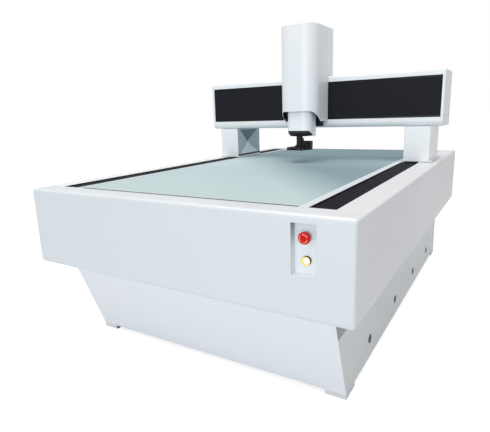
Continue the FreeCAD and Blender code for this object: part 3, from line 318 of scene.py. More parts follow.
# Drift: the colour moves lighter and darker by Amount over patches of a given size.
drift, given, result = effect_group(
    "colour_drift",
    [("Color", "Color", (0.8, 0.8, 0.8, 1.0)), ("Amount", "Float", 0.03), ("Scale", "Float", 4.0)],
    [("Color", "Color"), ("Field", "Float")],
)
broad = calc(drift, "MULTIPLY", noise(drift, given["Scale"]), 0.7)
fine = noise(drift, calc(drift, "MULTIPLY", given["Scale"], 9.0), detail=2.0)
field = calc(drift, "ADD", broad, calc(drift, "MULTIPLY", fine, 0.3))
swing = calc(drift, "MULTIPLY", calc(drift, "SUBTRACT", field, 0.5), given["Amount"])
bright = drift.nodes.new("ShaderNodeHueSaturation")
drift.links.new(given["Color"], bright.inputs["Color"])
drift.links.new(calc(drift, "ADD", 1.0, calc(drift, "MULTIPLY", swing, 4.0)), bright.inputs["Value"])
drift.links.new(bright.outputs["Color"], result["Color"])
drift.links.new(field, result["Field"])

# Peel: fine dimples as a normal.
peel, given, result = effect_group(
    "surface_peel",
    [("Scale", "Float", 900.0), ("Strength", "Float", 0.05), ("Distance", "Float", 0.0002)],
    [("Normal", "Vector")],
)
waves = noise(peel, calc(peel, "MULTIPLY", given["Scale"], 0.06), detail=1.0)
dimples = calc(peel, "ADD", noise(peel, given["Scale"], detail=2.0), waves)
peel.links.new(bumped(peel, dimples, given["Strength"], given["Distance"]), result["Normal"])

# Wear: one on outside edges, where a rounded copy of the normal leaves the true one, broken up by noise.
wear, given, result = effect_group(
    "edge_wear", [("Width", "Float", 0.0015), ("Amount", "Float", 0.5)], [("Mask", "Float")])
rounded = wear.nodes.new("ShaderNodeBevel")
rounded.samples = 4
wear.links.new(given["Width"], rounded.inputs["Radius"])
agree = vector_calc(wear, "DOT_PRODUCT", rounded.outputs["Normal"], facing_in(wear))
broken = ramp(wear, noise(wear, 60.0, detail=4.0), 0.42, 0.62)
worn = calc(wear, "MULTIPLY", ramp(wear, agree, 0.995, 0.90), broken)
wear.links.new(calc(wear, "MULTIPLY", worn, given["Amount"], limit=True), result["Mask"])

# Dust: one on faces that look up, in soft patches.
dust, given, result = effect_group("dust_film", [("Amount", "Float", 0.2)], [("Mask", "Float")])
upward = ramp(dust, parts_of(dust, facing_in(dust))[2], 0.6, 1.0)
film = calc(dust, "MULTIPLY", upward, ramp(dust, noise(dust, 5.0, detail=5.0), 0.35, 0.7))
dust.links.new(calc(dust, "MULTIPLY", film, given["Amount"], limit=True), result["Mask"])

# Inside: one on the upright faces that look at an upright axis, which are the inner faces of a cover.
inside, given, result = effect_group(
    "inside_faces", [("Axis", "Vector", (0.0, 0.0, 0.0))], [("Mask", "Float")])
away = vector_calc(inside, "SUBTRACT", place_in(inside), given["Axis"])
level = vector_calc(inside, "MULTIPLY", away, (1.0, 1.0, 0.0))
outward = vector_calc(inside, "DOT_PRODUCT", level, facing_in(inside))
inside.links.new(ramp(inside, outward, -0.002, -0.010), result["Mask"])

# Leg shade: the mask is one on the side of a leg that looks at the stage, and Lean is one on faces
# that look down and small on faces that look up.
leg_shade, given, result = effect_group(
    "leg_shade", [("Side", "Float", 1.0)], [("Mask", "Float"), ("Lean", "Float")])
right, _, up = parts_of(leg_shade, facing_in(leg_shade))
towards_stage = calc(leg_shade, "MULTIPLY", right, given["Side"])
leg_shade.links.new(ramp(leg_shade, up, -0.17, 0.17, 1.0, 0.10), result["Lean"])
leg_shade.links.new(ramp(leg_shade, towards_stage, 0.6, 0.9), result["Mask"])

# Facing: one on faces that look sideways, one on faces that look up, one on those that look along +X
# or, with Side at -1, along -X.
facing_masks, given, result = effect_group(
    "facing_masks", [("Side", "Float", 1.0)],
    [("Sideways", "Float"), ("Upward", "Float"), ("Inward", "Float")])
right, _, up = parts_of(facing_masks, facing_in(facing_masks))
inward = calc(facing_masks, "MULTIPLY", right, given["Side"])
sideways = calc(facing_masks, "ABSOLUTE", right, 0.0)
facing_masks.links.new(ramp(facing_masks, sideways, 0.45, 0.85), result["Sideways"])
facing_masks.links.new(ramp(facing_masks, up, 0.25, 0.75), result["Upward"])
facing_masks.links.new(ramp(facing_masks, inward, 0.80, 0.95), result["Inward"])
print("effect groups:", [group.name for group in bpy.data.node_groups])

# %% [markdown]
# Most finishes differ only in a few numbers: the colour, how far it drifts, how rough it is, how
# deeply it is dimpled and how its edges wear. One function builds such a finish from these numbers, and
# the finish stays a plain Principled shader with its own values. Colours are written in linear light.

# %% One builder for the plain finishes


def grey_blend(*parts):
    """A colour as Blender keeps it: red, green, blue and full alpha."""
    return (*parts, 1.0)


def use_group(tree, group, **values):
    """Places an effect group; its inputs are set by name."""
    node = tree.nodes.new("ShaderNodeGroup")
    node.node_tree = group
    for label, number in values.items():
        feed(tree, number, node.inputs[label])
    return node


DUST_TONE = grey_blend(0.62, 0.61, 0.59)
ROUGH_SWING = 0.05


def plain_finish(name, colour, roughness, drift_amount=0.02, drift_scale=4.0, peel_scale=900.0,
                 peel_strength=0.05, worn_colour=None, wear_width=0.0012, wear_amount=0.4, dusty=0.0,
                 metallic=0.0, shine=0.5, shaded=None):
    """A Principled finish: drifting colour and roughness, dimples, worn edges and a film of dust.

    shaded is a function that puts a mask in the tree. Where the mask is one, its colour shows instead.
    """
    material, tree, shader = new_finish(name)
    shader.inputs["Metallic"].default_value = metallic
    shader.inputs["Specular IOR Level"].default_value = shine
    tone = use_group(tree, drift, Color=colour, Amount=drift_amount, Scale=drift_scale)
    shown = tone.outputs["Color"]
    if worn_colour is not None:
        edges = use_group(tree, wear, Width=wear_width, Amount=wear_amount)
        shown = mixed(tree, edges.outputs["Mask"], shown, worn_colour)
    if dusty:
        film = use_group(tree, dust, Amount=dusty)
        shown = mixed(tree, film.outputs["Mask"], shown, DUST_TONE)
    if shaded is not None:
        mask, under = shaded(tree)
        shown = mixed(tree, mask, shown, under)
    tree.links.new(shown, shader.inputs["Base Color"])
    rough = ramp(tree, tone.outputs["Field"], 0.3, 0.7, roughness - ROUGH_SWING, roughness + ROUGH_SWING)
    tree.links.new(rough, shader.inputs["Roughness"])
    skin = use_group(tree, peel, Scale=peel_scale, Strength=peel_strength)
    tree.links.new(skin.outputs["Normal"], shader.inputs["Normal"])
    return material


def near_point(tree, middle, low, high):
    """One at a point and zero away from it, between two distances in metres."""
    return ramp(tree, vector_calc(tree, "DISTANCE", place_in(tree), middle), high, low)


# %% [markdown]
# ### White coats
# The housing and the base are powder coated in a cool white, the bridge and the head in a slightly
# warmer one. Powder melts into a film with a faint orange peel, which is the dimple pattern here.
# Edges are only brushed a little lighter, as the machine is new; on the white coats this lighter edge
# is also a painted highlight on the rounded edges. Light and shade are painted into the coats: the
# sides and the beam's end caps are painted a shade darker than the fronts, the tops are painted
# lighter, the base's front is painted lighter than the housing's, and the stage frame's left strip is
# painted darker than its right one. The walls of the slots for the bands are black. Painted shade
# darkens the base's sides in a band under the housing's overhang, and the recess under its top edge,
# where its ledge gets painted light instead. The insides of the head's covers are painted black, as
# painted shade. The legs' inner sides carry the beam's shade as painted shade: the cross-broken panel
# goes from painted shade at the top to painted light at the bottom.

# %% Tones of the sheets, with painted light and shade
# Worn edges: partly wear, and partly a painted highlight on the rounded edges.
WORN_WHITE_AND_SHEEN = grey_blend(0.88, 0.90, 0.91)
SLOT_BLACK = grey_blend(0.012, 0.013, 0.018)
# Painted shade in black: inside the head's covers and on the foot pads' inner sides.
INSIDE_SHADE_BLACK = grey_blend(0.016, 0.018, 0.026)
# Painted light and shade: the sides are painted darker than the fronts, and the base's front is painted
# lighter than the housing's front.
HOUSING_FRONT, HOUSING_SIDE_SHADED = grey_blend(0.640, 0.690, 0.722), grey_blend(0.608, 0.622, 0.648)
BASE_FRONT, BASE_SIDE_SHADED = grey_blend(0.775, 0.815, 0.855), grey_blend(0.590, 0.620, 0.636)
# Painted shade on the base's sides, in a band SHADE_BAND metres deep under the housing's overhang.
BASE_SHADE, SHADE_BAND = grey_blend(0.185, 0.210, 0.198), 0.118
# Painted light on the tops.
FRONT_TOP_LIT, SIDE_TOP_LIT = grey_blend(0.710, 0.750, 0.775), grey_blend(0.870, 0.865, 0.885)
# Painted shade under the recess's top edge, and painted light on its ledge.
POCKET_SHADE, POCKET_LEDGE_LIT = grey_blend(0.10, 0.17, 0.21), grey_blend(0.95, 0.96, 0.97)
# The stage frame's left strip is painted a shade darker than its right one.
LEFT_STRIP_SHADED, RIGHT_STRIP = grey_blend(0.56, 0.665, 0.70), grey_blend(0.79, 0.83, 0.88)
# Painted light and painted shade on the stage side of the legs.
LEG_LIGHT, LEG_DARK, WIPER_HEIGHT = grey_blend(0.76, 0.86, 0.93), grey_blend(0.10, 0.18, 0.22), 0.012
HEAD_WHITE, RAM_WHITE = grey_blend(0.810, 0.840, 0.868), grey_blend(0.870, 0.915, 0.945)


def pocket_shade_and_light(tree):
    """Mask and colour of the recess: painted shade under its top edge, most on the wall that faces +X.

    The ledge at the bottom, which faces up, gets painted light instead.
    """
    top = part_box("control_pocket")[1][2]
    height = parts_of(tree, place_in(tree))[2]
    right, back, up = parts_of(tree, facing_in(tree))
    fade = ramp(tree, height, top - 0.080, top - 0.012, 0.14, 1.0)
    on_wall = calc(tree, "MULTIPLY", ramp(tree, right, 0.5, 0.9, 0.0, 0.85), fade)
    under_edge = ramp(tree, height, top - 0.050, top - 0.034)
    on_back = calc(tree, "MULTIPLY", ramp(tree, back, -0.5, -0.9, 0.0, 0.08), under_edge)
    ledge = ramp(tree, up, 0.5, 0.9)
    mask = calc(tree, "MAXIMUM", calc(tree, "MAXIMUM", on_wall, on_back), ledge)
    return mask, mixed(tree, ledge, POCKET_SHADE, POCKET_LEDGE_LIT)


def across_tone(tree, left, right, start, end):
    """A colour that goes from one tone to another between two places along X."""
    return mixed(tree, ramp(tree, parts_of(tree, place_in(tree))[0], start, end), left, right)


def facing_light_and_slot_black(tree, side_tone, top_tone, inner_side=0.0):
    """Mask and colour of a sheet's sideways and upward faces: painted shade on the sides, painted light on
    the tops.

    The faces that look along inner_side times X are the walls of a band's slot, and black.
    """
    found = use_group(tree, facing_masks, Side=inner_side)
    tone = mixed(tree, found.outputs["Upward"], side_tone, top_tone)
    tone = mixed(tree, found.outputs["Inward"], tone, SLOT_BLACK)
    return calc(tree, "MAXIMUM", found.outputs["Sideways"], found.outputs["Upward"]), tone


def base_painted_shade(tree):
    """Mask and colour of the base's sides: painted shade, and darker painted shade in a band under the
    housing's overhang.
    """
    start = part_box("base_right_panel")[1][2] - SHADE_BAND
    under = ramp(tree, parts_of(tree, place_in(tree))[2], start - 0.003, start + 0.004)
    return facing_light_and_slot_black(tree, mixed(tree, under, BASE_SIDE_SHADED, BASE_SHADE), BASE_FRONT)


def strip_shade_and_slots(tree):
    """Mask and colour of the stage frame: the left strip is painted a shade darker than the right one, the
    slot walls are black.
    """
    walls = use_group(tree, facing_masks, Side=0.0).outputs["Sideways"]
    return 1.0, mixed(tree, walls, across_tone(tree, LEFT_STRIP_SHADED, RIGHT_STRIP, 0.2, 0.45), SLOT_BLACK)


def inside_shade(tree, axis):
    """Mask and colour of painted shade, in black, on the inner faces round an upright axis."""
    return use_group(tree, inside, Axis=axis).outputs["Mask"], INSIDE_SHADE_BLACK


def stage_side(tree, side, foot):
    """Mask and colour of a leg's stage side: painted light to painted shade as the faces lean, a black wiper
    at the foot.
    """
    found = use_group(tree, leg_shade, Side=side)
    shade = mixed(tree, found.outputs["Lean"], LEG_LIGHT, LEG_DARK)
    wiper_top = foot + WIPER_HEIGHT
    wiper = ramp(tree, parts_of(tree, place_in(tree))[2], wiper_top + 0.001, wiper_top)
    return found.outputs["Mask"], mixed(tree, wiper, shade, SLOT_BLACK)


# %% White coats
def housing_sheet(name, colour, shaded):
    """The housing's powder coat: the colour of its front faces, and painted light and shade on the others."""
    # The lighter worn edges are partly wear and partly a painted highlight.
    return plain_finish(
        name, colour, 0.38, drift_amount=0.012, drift_scale=2.2, peel_strength=0.10,
        worn_colour=grey_blend(0.86, 0.88, 0.90), wear_amount=0.5, dusty=0.05, shaded=shaded,
    )


def bridge_sheet(name, colour, wear_amount=0.5, shaded=None):
    """The bridge's coat, a little smoother than the housing's."""
    return plain_finish(
        name, colour, 0.36, drift_amount=0.010, drift_scale=3.0, peel_strength=0.09,
        worn_colour=WORN_WHITE_AND_SHEEN, wear_amount=wear_amount, dusty=0.04, shaded=shaded,
    )


def head_coat(name, node, back_face, tone):
    """The coat of a head cover: white outside, painted shade in black inside. Its axis stands at its open
    side.
    """
    low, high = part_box(node)
    axis = ((low[0] + high[0]) / 2, (high if back_face else low)[1], 0.0)
    return plain_finish(
        name, tone, 0.32, drift_amount=0.010, drift_scale=5.0, peel_strength=0.07,
        worn_colour=WORN_WHITE_AND_SHEEN, wear_amount=0.5, dusty=0.03, shaded=lambda tree: inside_shade(tree, axis),
    )


def leg_coat(name, node, side):
    """The bridge's coat with painted shade on the side of a leg that looks at the stage."""
    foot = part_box(node)[0][2]
    return bridge_sheet(name, grey_blend(0.832, 0.872, 0.898), 0.3, lambda tree: stage_side(tree, side, foot))


# The front and rear covers' tops are painted light, lighter towards +X.
housing_coat = housing_sheet(
    "housing_coat", HOUSING_FRONT,
    lambda tree: facing_light_and_slot_black(tree, HOUSING_SIDE_SHADED, across_tone(tree, FRONT_TOP_LIT, SIDE_TOP_LIT, -0.1, 1.0)))
left_coat = housing_sheet(
    "left_coat", HOUSING_FRONT, lambda tree: facing_light_and_slot_black(tree, HOUSING_SIDE_SHADED, SIDE_TOP_LIT, 1.0))
right_coat = housing_sheet(
    "right_coat", HOUSING_FRONT, lambda tree: facing_light_and_slot_black(tree, HOUSING_SIDE_SHADED, SIDE_TOP_LIT, -1.0))
base_coat = housing_sheet("base_coat", BASE_FRONT, base_painted_shade)
pocket_coat = housing_sheet("pocket_coat", grey_blend(0.750, 0.812, 0.845), pocket_shade_and_light)
# The beam's end caps: the bridge's coat painted a shade darker, as painted shade on faces that look sideways.
shaded_cap_coat = bridge_sheet("shaded_cap_coat", grey_blend(0.715, 0.745, 0.765))
bridge_coat = bridge_sheet("bridge_coat", grey_blend(0.800, 0.835, 0.855))
strip_coat = plain_finish(
    "strip_coat", LEFT_STRIP_SHADED, 0.40, drift_amount=0.010, drift_scale=3.0, peel_strength=0.09,
    shaded=strip_shade_and_slots,
)
# The head's covers and the ram's cover are painted black inside, as painted shade.
head_front_coat = head_coat("head_front_coat", "head_front_cover", True, HEAD_WHITE)
head_rear_coat = head_coat("head_rear_coat", "head_rear_cover", False, HEAD_WHITE)
ram_coat = head_coat("ram_coat", "ram_cover", True, RAM_WHITE)
left_leg_coat = leg_coat("left_leg_coat", "leg_cover_left", 1.0)
right_leg_coat = leg_coat("right_leg_coat", "leg_cover_right", -1.0)
frame_paint = plain_finish(
    "frame_paint", grey_blend(0.16, 0.17, 0.19), 0.5, drift_amount=0.04, drift_scale=6.0,
    peel_strength=0.2, worn_colour=grey_blend(0.32, 0.33, 0.35), wear_amount=0.5, dusty=0.3,
)

# %% [markdown]
# ### Metals
# Machined faces carry fine parallel tool marks. A noise that is stretched along one axis gives them,
# both in the roughness and as a very shallow bump. Anodised parts are smoother, ground rails glossier.

# %% Metals


def tool_marked_metal(name, colour, roughness, stretch, mark_scale=160.0):
    """A metal with marks that run along the axis whose stretch factor is small."""
    material, tree, shader = new_finish(name)
    shader.inputs["Metallic"].default_value = 1.0
    mapping = tree.nodes.new("ShaderNodeMapping")
    mapping.inputs["Scale"].default_value = stretch
    tree.links.new(place_in(tree), mapping.inputs["Vector"])
    marks = tree.nodes.new("ShaderNodeTexNoise")
    marks.inputs["Scale"].default_value = mark_scale
    marks.inputs["Detail"].default_value = 4.0
    tree.links.new(mapping.outputs["Vector"], marks.inputs["Vector"])
    tone = use_group(tree, drift, Color=colour, Amount=0.04, Scale=12.0)
    edges = use_group(tree, wear, Width=0.0008, Amount=0.6)
    shown = mixed(tree, edges.outputs["Mask"], tone.outputs["Color"], grey_blend(0.88, 0.89, 0.90))
    tree.links.new(shown, shader.inputs["Base Color"])
    rough = ramp(tree, marks.outputs["Fac"], 0.3, 0.7, roughness - 0.08, roughness + 0.10)
    tree.links.new(rough, shader.inputs["Roughness"])
    tree.links.new(bumped(tree, marks.outputs["Fac"], 0.25, 0.00005), shader.inputs["Normal"])
    return material


anodised = tool_marked_metal("anodised", grey_blend(0.70, 0.71, 0.72), 0.42, (1.0, 0.05, 1.0))
casting = tool_marked_metal("casting", grey_blend(0.58, 0.60, 0.62), 0.48, (0.3, 1.0, 1.0), mark_scale=90.0)
ground_steel = tool_marked_metal("ground_steel", grey_blend(0.60, 0.60, 0.61), 0.24, (1.0, 0.03, 1.0))
magnet_cover = tool_marked_metal("magnet_cover", grey_blend(0.40, 0.41, 0.43), 0.33, (1.0, 0.1, 1.0))
black_anodised = plain_finish(
    "black_anodised", grey_blend(0.012, 0.013, 0.019), 0.40, drift_amount=0.05, drift_scale=30.0,
    peel_scale=2500.0, peel_strength=0.12, worn_colour=grey_blend(0.10, 0.10, 0.11), wear_width=0.0006,
    wear_amount=0.6, metallic=0.10, shine=0.16,
)

# %% [markdown]
# ### Stone, glass and bands
# The slab is black stone: a dark ground with fine lighter grains, lapped to a soft sheen. The glass
# of the stage lies over a milky light panel, so it shows pale green-blue and a little cloudy. Its colour
# also carries painted light at the front left and painted shade towards the back right, under and
# behind the bridge at rest. The cover bands are black woven tape with a fine crosswise rib.

# %% Stone, glass and bands


def grained_stone(name):
    """Black stone: cells of many sizes, a few of them light, under a lapped surface."""
    material, tree, shader = new_finish(name)
    grains = tree.nodes.new("ShaderNodeTexVoronoi")
    grains.inputs["Scale"].default_value = 420.0
    tree.links.new(place_in(tree), grains.inputs["Vector"])
    light = ramp(tree, grains.outputs["Distance"], 0.30, 0.05)
    grain = calc(tree, "MULTIPLY", light, ramp(tree, noise(tree, 260.0, detail=2.0), 0.55, 0.70))
    shown = mixed(tree, grain, grey_blend(0.020, 0.021, 0.023), grey_blend(0.17, 0.17, 0.18))
    tree.links.new(shown, shader.inputs["Base Color"])
    tree.links.new(ramp(tree, grain, 0.0, 1.0, 0.22, 0.42), shader.inputs["Roughness"])
    skin = use_group(tree, peel, Scale=600.0, Strength=0.05)
    tree.links.new(skin.outputs["Normal"], shader.inputs["Normal"])
    return material


def ribbed_band(name, across, sheen):
    """Woven black tape: fine ribs across the band, as waves along one axis, and a soft fibre noise."""
    material, tree, shader = new_finish(name)
    shader.inputs["Specular IOR Level"].default_value = sheen
    tone = use_group(tree, drift, Color=grey_blend(0.0110, 0.0118, 0.0160), Amount=0.06, Scale=5.0)
    ribs = tree.nodes.new("ShaderNodeTexWave")
    ribs.wave_type = "BANDS"
    ribs.bands_direction = across
    ribs.inputs["Scale"].default_value = 260.0
    ribs.inputs["Distortion"].default_value = 0.4
    tree.links.new(place_in(tree), ribs.inputs["Vector"])
    fibre = noise(tree, 1500.0, detail=2.0)
    shown = mixed(tree, calc(tree, "MULTIPLY", ribs.outputs["Fac"], 0.25), tone.outputs["Color"],
                  grey_blend(0.020, 0.021, 0.027))
    tree.links.new(shown, shader.inputs["Base Color"])
    tree.links.new(ramp(tree, fibre, 0.3, 0.7, 0.48, 0.62), shader.inputs["Roughness"])
    weave = calc(tree, "ADD", ribs.outputs["Fac"], fibre)
    tree.links.new(bumped(tree, weave, 0.25, 0.0002), shader.inputs["Normal"])
    return material


def stage_glass_finish(name):
    """Pale green-blue glass over the light panel, with painted light at the front left and painted shade to
    the back right.

    The painted shade starts where a sum of Y and a share of X is high, so its edge runs at a slant. It lies
    under and behind the bridge at rest and stays put when the bridge moves.
    """
    material, tree, shader = new_finish(name)
    shader.inputs["IOR"].default_value = 1.52
    shader.inputs["Specular IOR Level"].default_value = 0.012
    right, along, _ = parts_of(tree, place_in(tree))
    slanted = calc(tree, "ADD", along, calc(tree, "MULTIPLY", right, 1.15))
    # Painted light towards the front, painted shade further back.
    front = mixed(tree, ramp(tree, along, -1.0, -0.3), grey_blend(0.575, 0.690, 0.695),
                  grey_blend(0.545, 0.684, 0.709))
    light = mixed(tree, ramp(tree, along, -0.3, 0.15), front, grey_blend(0.670, 0.800, 0.820))
    dark = mixed(tree, ramp(tree, along, -0.1, 0.45), grey_blend(0.275, 0.385, 0.420),
                 grey_blend(0.450, 0.620, 0.665))
    dark = mixed(tree, ramp(tree, along, 0.50, 0.78), dark, grey_blend(0.262, 0.385, 0.435))
    body = mixed(tree, ramp(tree, slanted, -0.38, 0.10), light, dark)
    tone = use_group(tree, drift, Color=body, Amount=0.006, Scale=1.1)
    tree.links.new(tone.outputs["Color"], shader.inputs["Base Color"])
    tree.links.new(ramp(tree, tone.outputs["Field"], 0.3, 0.7, 0.44, 0.52), shader.inputs["Roughness"])
    skin = use_group(tree, peel, Scale=60.0, Strength=0.006)
    tree.links.new(skin.outputs["Normal"], shader.inputs["Normal"])
    return material


black_stone = grained_stone("black_stone")
band_along_y = ribbed_band("band_along_y", "Y", 0.015)
band_along_x = ribbed_band("band_along_x", "X", 0.08)
stage_glass = stage_glass_finish("stage_glass")

# %% [markdown]
# ### Plastics and lamps
# Moulded black parts have a fine spark-eroded grain. The foot pads are grey rubber; their sides that
# look under the machine are painted black, as painted shade. The emergency stop is a glossy red, with
# painted shade in its dish. The lit button has a yellow lens that is brightest in its middle, where the
# lamp sits behind it.

# %% Plastics and lamps
seal_black = plain_finish(
    "seal_black", grey_blend(0.030, 0.028, 0.027), 0.55, drift_amount=0.05, drift_scale=40.0,
    peel_scale=500.0, peel_strength=0.40,
)
# The pads' sides that look under the machine are painted black, as painted shade.
foot_rubber = plain_finish(
    "foot_rubber", grey_blend(0.66, 0.685, 0.70), 0.70, drift_amount=0.03, drift_scale=20.0,
    peel_scale=1200.0, peel_strength=0.30, shaded=lambda tree: inside_shade(tree, (0.0, 0.0, 0.0)),
)
grey_plastic = plain_finish(
    "grey_plastic", grey_blend(0.42, 0.44, 0.46), 0.45, drift_amount=0.03, drift_scale=20.0,
    peel_scale=1800.0, peel_strength=0.25, worn_colour=grey_blend(0.55, 0.56, 0.58), wear_amount=0.3,
)
black_plastic = plain_finish(
    "black_plastic", grey_blend(0.022, 0.022, 0.024), 0.48, drift_amount=0.05, drift_scale=20.0,
    peel_scale=1800.0, peel_strength=0.30, worn_colour=grey_blend(0.06, 0.06, 0.065), wear_amount=0.4,
    shine=0.20,
)
coil_resin = plain_finish(
    "coil_resin", grey_blend(0.030, 0.036, 0.052), 0.35, drift_amount=0.08, drift_scale=25.0,
    peel_scale=700.0, peel_strength=0.25,
)
milky_panel = plain_finish(
    "milky_panel", grey_blend(0.80, 0.83, 0.84), 0.45, drift_amount=0.01, peel_strength=0.05,
)
stop_low, stop_high = (np.array(corner, float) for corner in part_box("estop_head"))
stop_face_middle = ((stop_low[0] + stop_high[0]) / 2, stop_low[1] + 0.002, (stop_low[2] + stop_high[2]) / 2)
# The dish in the middle of the stop's face is painted a darker red, as painted shade in the hollow.
stop_red = plain_finish(
    "stop_red", grey_blend(0.600, 0.004, 0.012), 0.30, drift_amount=0.03, drift_scale=60.0,
    peel_scale=2500.0, peel_strength=0.06, worn_colour=grey_blend(0.68, 0.06, 0.06), wear_width=0.0006,
    wear_amount=0.25, shine=0.16,
    shaded=lambda tree: (near_point(tree, stop_face_middle, 0.0078, 0.0096), grey_blend(0.50, 0.004, 0.012)),
)
arrow_cream = plain_finish(
    "arrow_cream", grey_blend(0.80, 0.56, 0.26), 0.45, drift_amount=0.06, drift_scale=120.0,
    peel_scale=2500.0, peel_strength=0.15,
)


def lit_lens_finish(name, middle, radius):
    """A yellow lens over a lamp: white light in the middle, fading to yellow at the rim."""
    material, tree, shader = new_finish(name)
    shader.inputs["Emission Strength"].default_value = 1.0
    shader.inputs["Coat Weight"].default_value = 0.3
    core = near_point(tree, middle, radius * 0.32, radius * 0.92)
    shown = mixed(tree, core, grey_blend(0.90, 0.60, 0.02), grey_blend(0.95, 0.90, 0.66))
    tree.links.new(shown, shader.inputs["Base Color"])
    light = mixed(tree, core, grey_blend(0.22, 0.13, 0.00), grey_blend(0.95, 0.92, 0.80))
    tree.links.new(light, shader.inputs["Emission Color"])
    grain = noise(tree, 900.0, detail=1.0)
    tree.links.new(ramp(tree, grain, 0.3, 0.7, 0.22, 0.34), shader.inputs["Roughness"])
    return material


GLOW_RIGHT, GLOW_UP = 0.0032, 0.0022
lens_low, lens_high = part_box("lamp_button")
lens_middle = tuple((lens_low[i] + lens_high[i]) / 2 for i in range(3))
lens_front = (lens_middle[0] + GLOW_RIGHT, lens_low[1], lens_middle[2] + GLOW_UP)
lit_lens = lit_lens_finish("lit_lens", lens_front, (lens_high[0] - lens_low[0]) / 2)

# %% [markdown]
# Every CAD node gets its finish here. The mesh keeps its shape: only the material in its slot changes.

# %% Finishes for the CAD nodes
FINISHES = {
    housing_coat: ("front_cover", "rear_cover"),
    left_coat: ("left_cover",),
    right_coat: ("right_cover",),
    base_coat: ("base_front_panel", "base_rear_panel", "base_left_panel", "base_right_panel"),
    pocket_coat: ("control_pocket",),
    bridge_coat: ("beam_front_cover", "beam_rear_cover", "leg_upright_left", "leg_upright_right"),
    shaded_cap_coat: ("beam_cap_left", "beam_cap_right"),
    left_leg_coat: ("leg_cover_left",),
    right_leg_coat: ("leg_cover_right",),
    strip_coat: ("stage_frame",),
    head_front_coat: ("head_front_cover",),
    head_rear_coat: ("head_rear_cover",),
    ram_coat: ("ram_cover",),
    frame_paint: ("base_frame",),
    anodised: ("x_saddle", "ram_plate", "lens_mount"),
    ground_steel: ("y_rails", "x_rails", "z_rails", "y_carriages", "x_carriages", "z_carriages",
                   "z_screw", "z_nut", "granite_supports"),
    magnet_cover: ("y_motor_tracks", "x_motor_track"),
    black_anodised: ("head_plate", "z_motor", "camera", "lens_barrel", "coaxial_light",
                     "ring_light_housing"),
    black_stone: ("granite_table", "beam_core"),
    stage_glass: ("glass_plate",),
    band_along_y: ("y_bands",),
    band_along_x: ("beam_band",),
    foot_rubber: ("foot_pads",),
    black_plastic: ("hole_plugs", "power_inlet", "lamp_bezel", "ram_floor"),
    grey_plastic: ("estop_collar", "estop_stem"),
    coil_resin: ("y_motor_coils", "x_motor_coil"),
    milky_panel: ("backlight_panel", "ring_light_board"),
    stop_red: ("estop_head",),
    lit_lens: ("lamp_button",),
}
for material, names in FINISHES.items():
    for name in names:
        data = nodes[name].data
        data.materials.clear()
        data.materials.append(material)
dressed = {name for names in FINISHES.values() for name in names}
print("nodes without a finish:", sorted(set(nodes) - dressed))

# %% [markdown]
# ## Pieces that Blender adds
# CAD leaves small turned and moulded parts plain. They come back here in full: each is worked out from
# its CAD node's box, so it sits where the plain one sits. Sizes are in millimetres, as on a drawing.

# %% Ways to make a piece
MM = 0.001
ACROSS = {
    "+X": ((0, 1, 0), (0, 0, 1), (1, 0, 0)),
    "-X": ((0, 0, 1), (0, 1, 0), (-1, 0, 0)),
    "+Y": ((0, 0, 1), (1, 0, 0), (0, 1, 0)),
    "-Y": ((1, 0, 0), (0, 0, 1), (0, -1, 0)),
    "+Z": ((1, 0, 0), (0, 1, 0), (0, 0, 1)),
    "-Z": ((0, 1, 0), (1, 0, 0), (0, 0, -1)),
}


def arc(middle_radius, middle_height, radius, start, end, steps=6):
    """Profile points on a circle: the middle plus radius times the cosine and sine of each angle."""
    turns = np.radians(np.linspace(start, end, steps))
    return [(middle_radius + radius * math.cos(t), middle_height + radius * math.sin(t)) for t in turns]


def lathe_mesh(profile, place, axis, sides=64, ring=False, shape=None):
    """Points and faces of a turned piece.

    A profile point (radius, height) goes round the axis in equal steps: it stands at radius times the
    cosine and sine of the angle across the axis, and at its height along the axis. shape(radius,
    height, angle) gives a new radius where the piece isn't round. A profile that starts and ends on
    the axis is closed by a single point at each pole, and a ring joins its last row to its first.
    """
    across, upward, ahead = (np.array(v, float) for v in ACROSS[axis])
    angles = np.arange(sides) * 2 * math.pi / sides
    points, rows = [], []
    for radius, height in profile:
        if radius < 1e-9:
            rows.append([len(points)] * sides)
            points.append(np.array(place) + height * MM * ahead)
            continue
        reach = np.full(sides, float(radius)) if shape is None else shape(radius, height, angles)
        rows.append(list(range(len(points), len(points) + sides)))
        spread = np.cos(angles)[:, None] * across + np.sin(angles)[:, None] * upward
        points.extend(np.array(place) + MM * (reach[:, None] * spread + height * ahead))
    if ring:
        rows.append(rows[0])
    low, high = np.array(rows[:-1]), np.array(rows[1:])
    quads = np.stack([low, np.roll(low, -1, axis=1), np.roll(high, -1, axis=1), high], axis=-1)
    return np.array(points), [list(dict.fromkeys(quad)) for quad in quads.reshape(-1, 4).tolist()]


def tube_faces(rows, columns):
    """Faces of a grid whose rows close on themselves: a cap at each end and quads between the rows."""
    low = np.arange((rows - 1) * columns).reshape(-1, columns)
    high = np.roll(low, -1, axis=1)
    quads = np.stack([low, low + columns, high + columns, high], axis=-1).reshape(-1, 4)
    last = list(range((rows - 1) * columns, rows * columns))
    return [list(range(columns)), last[::-1]] + quads.tolist()


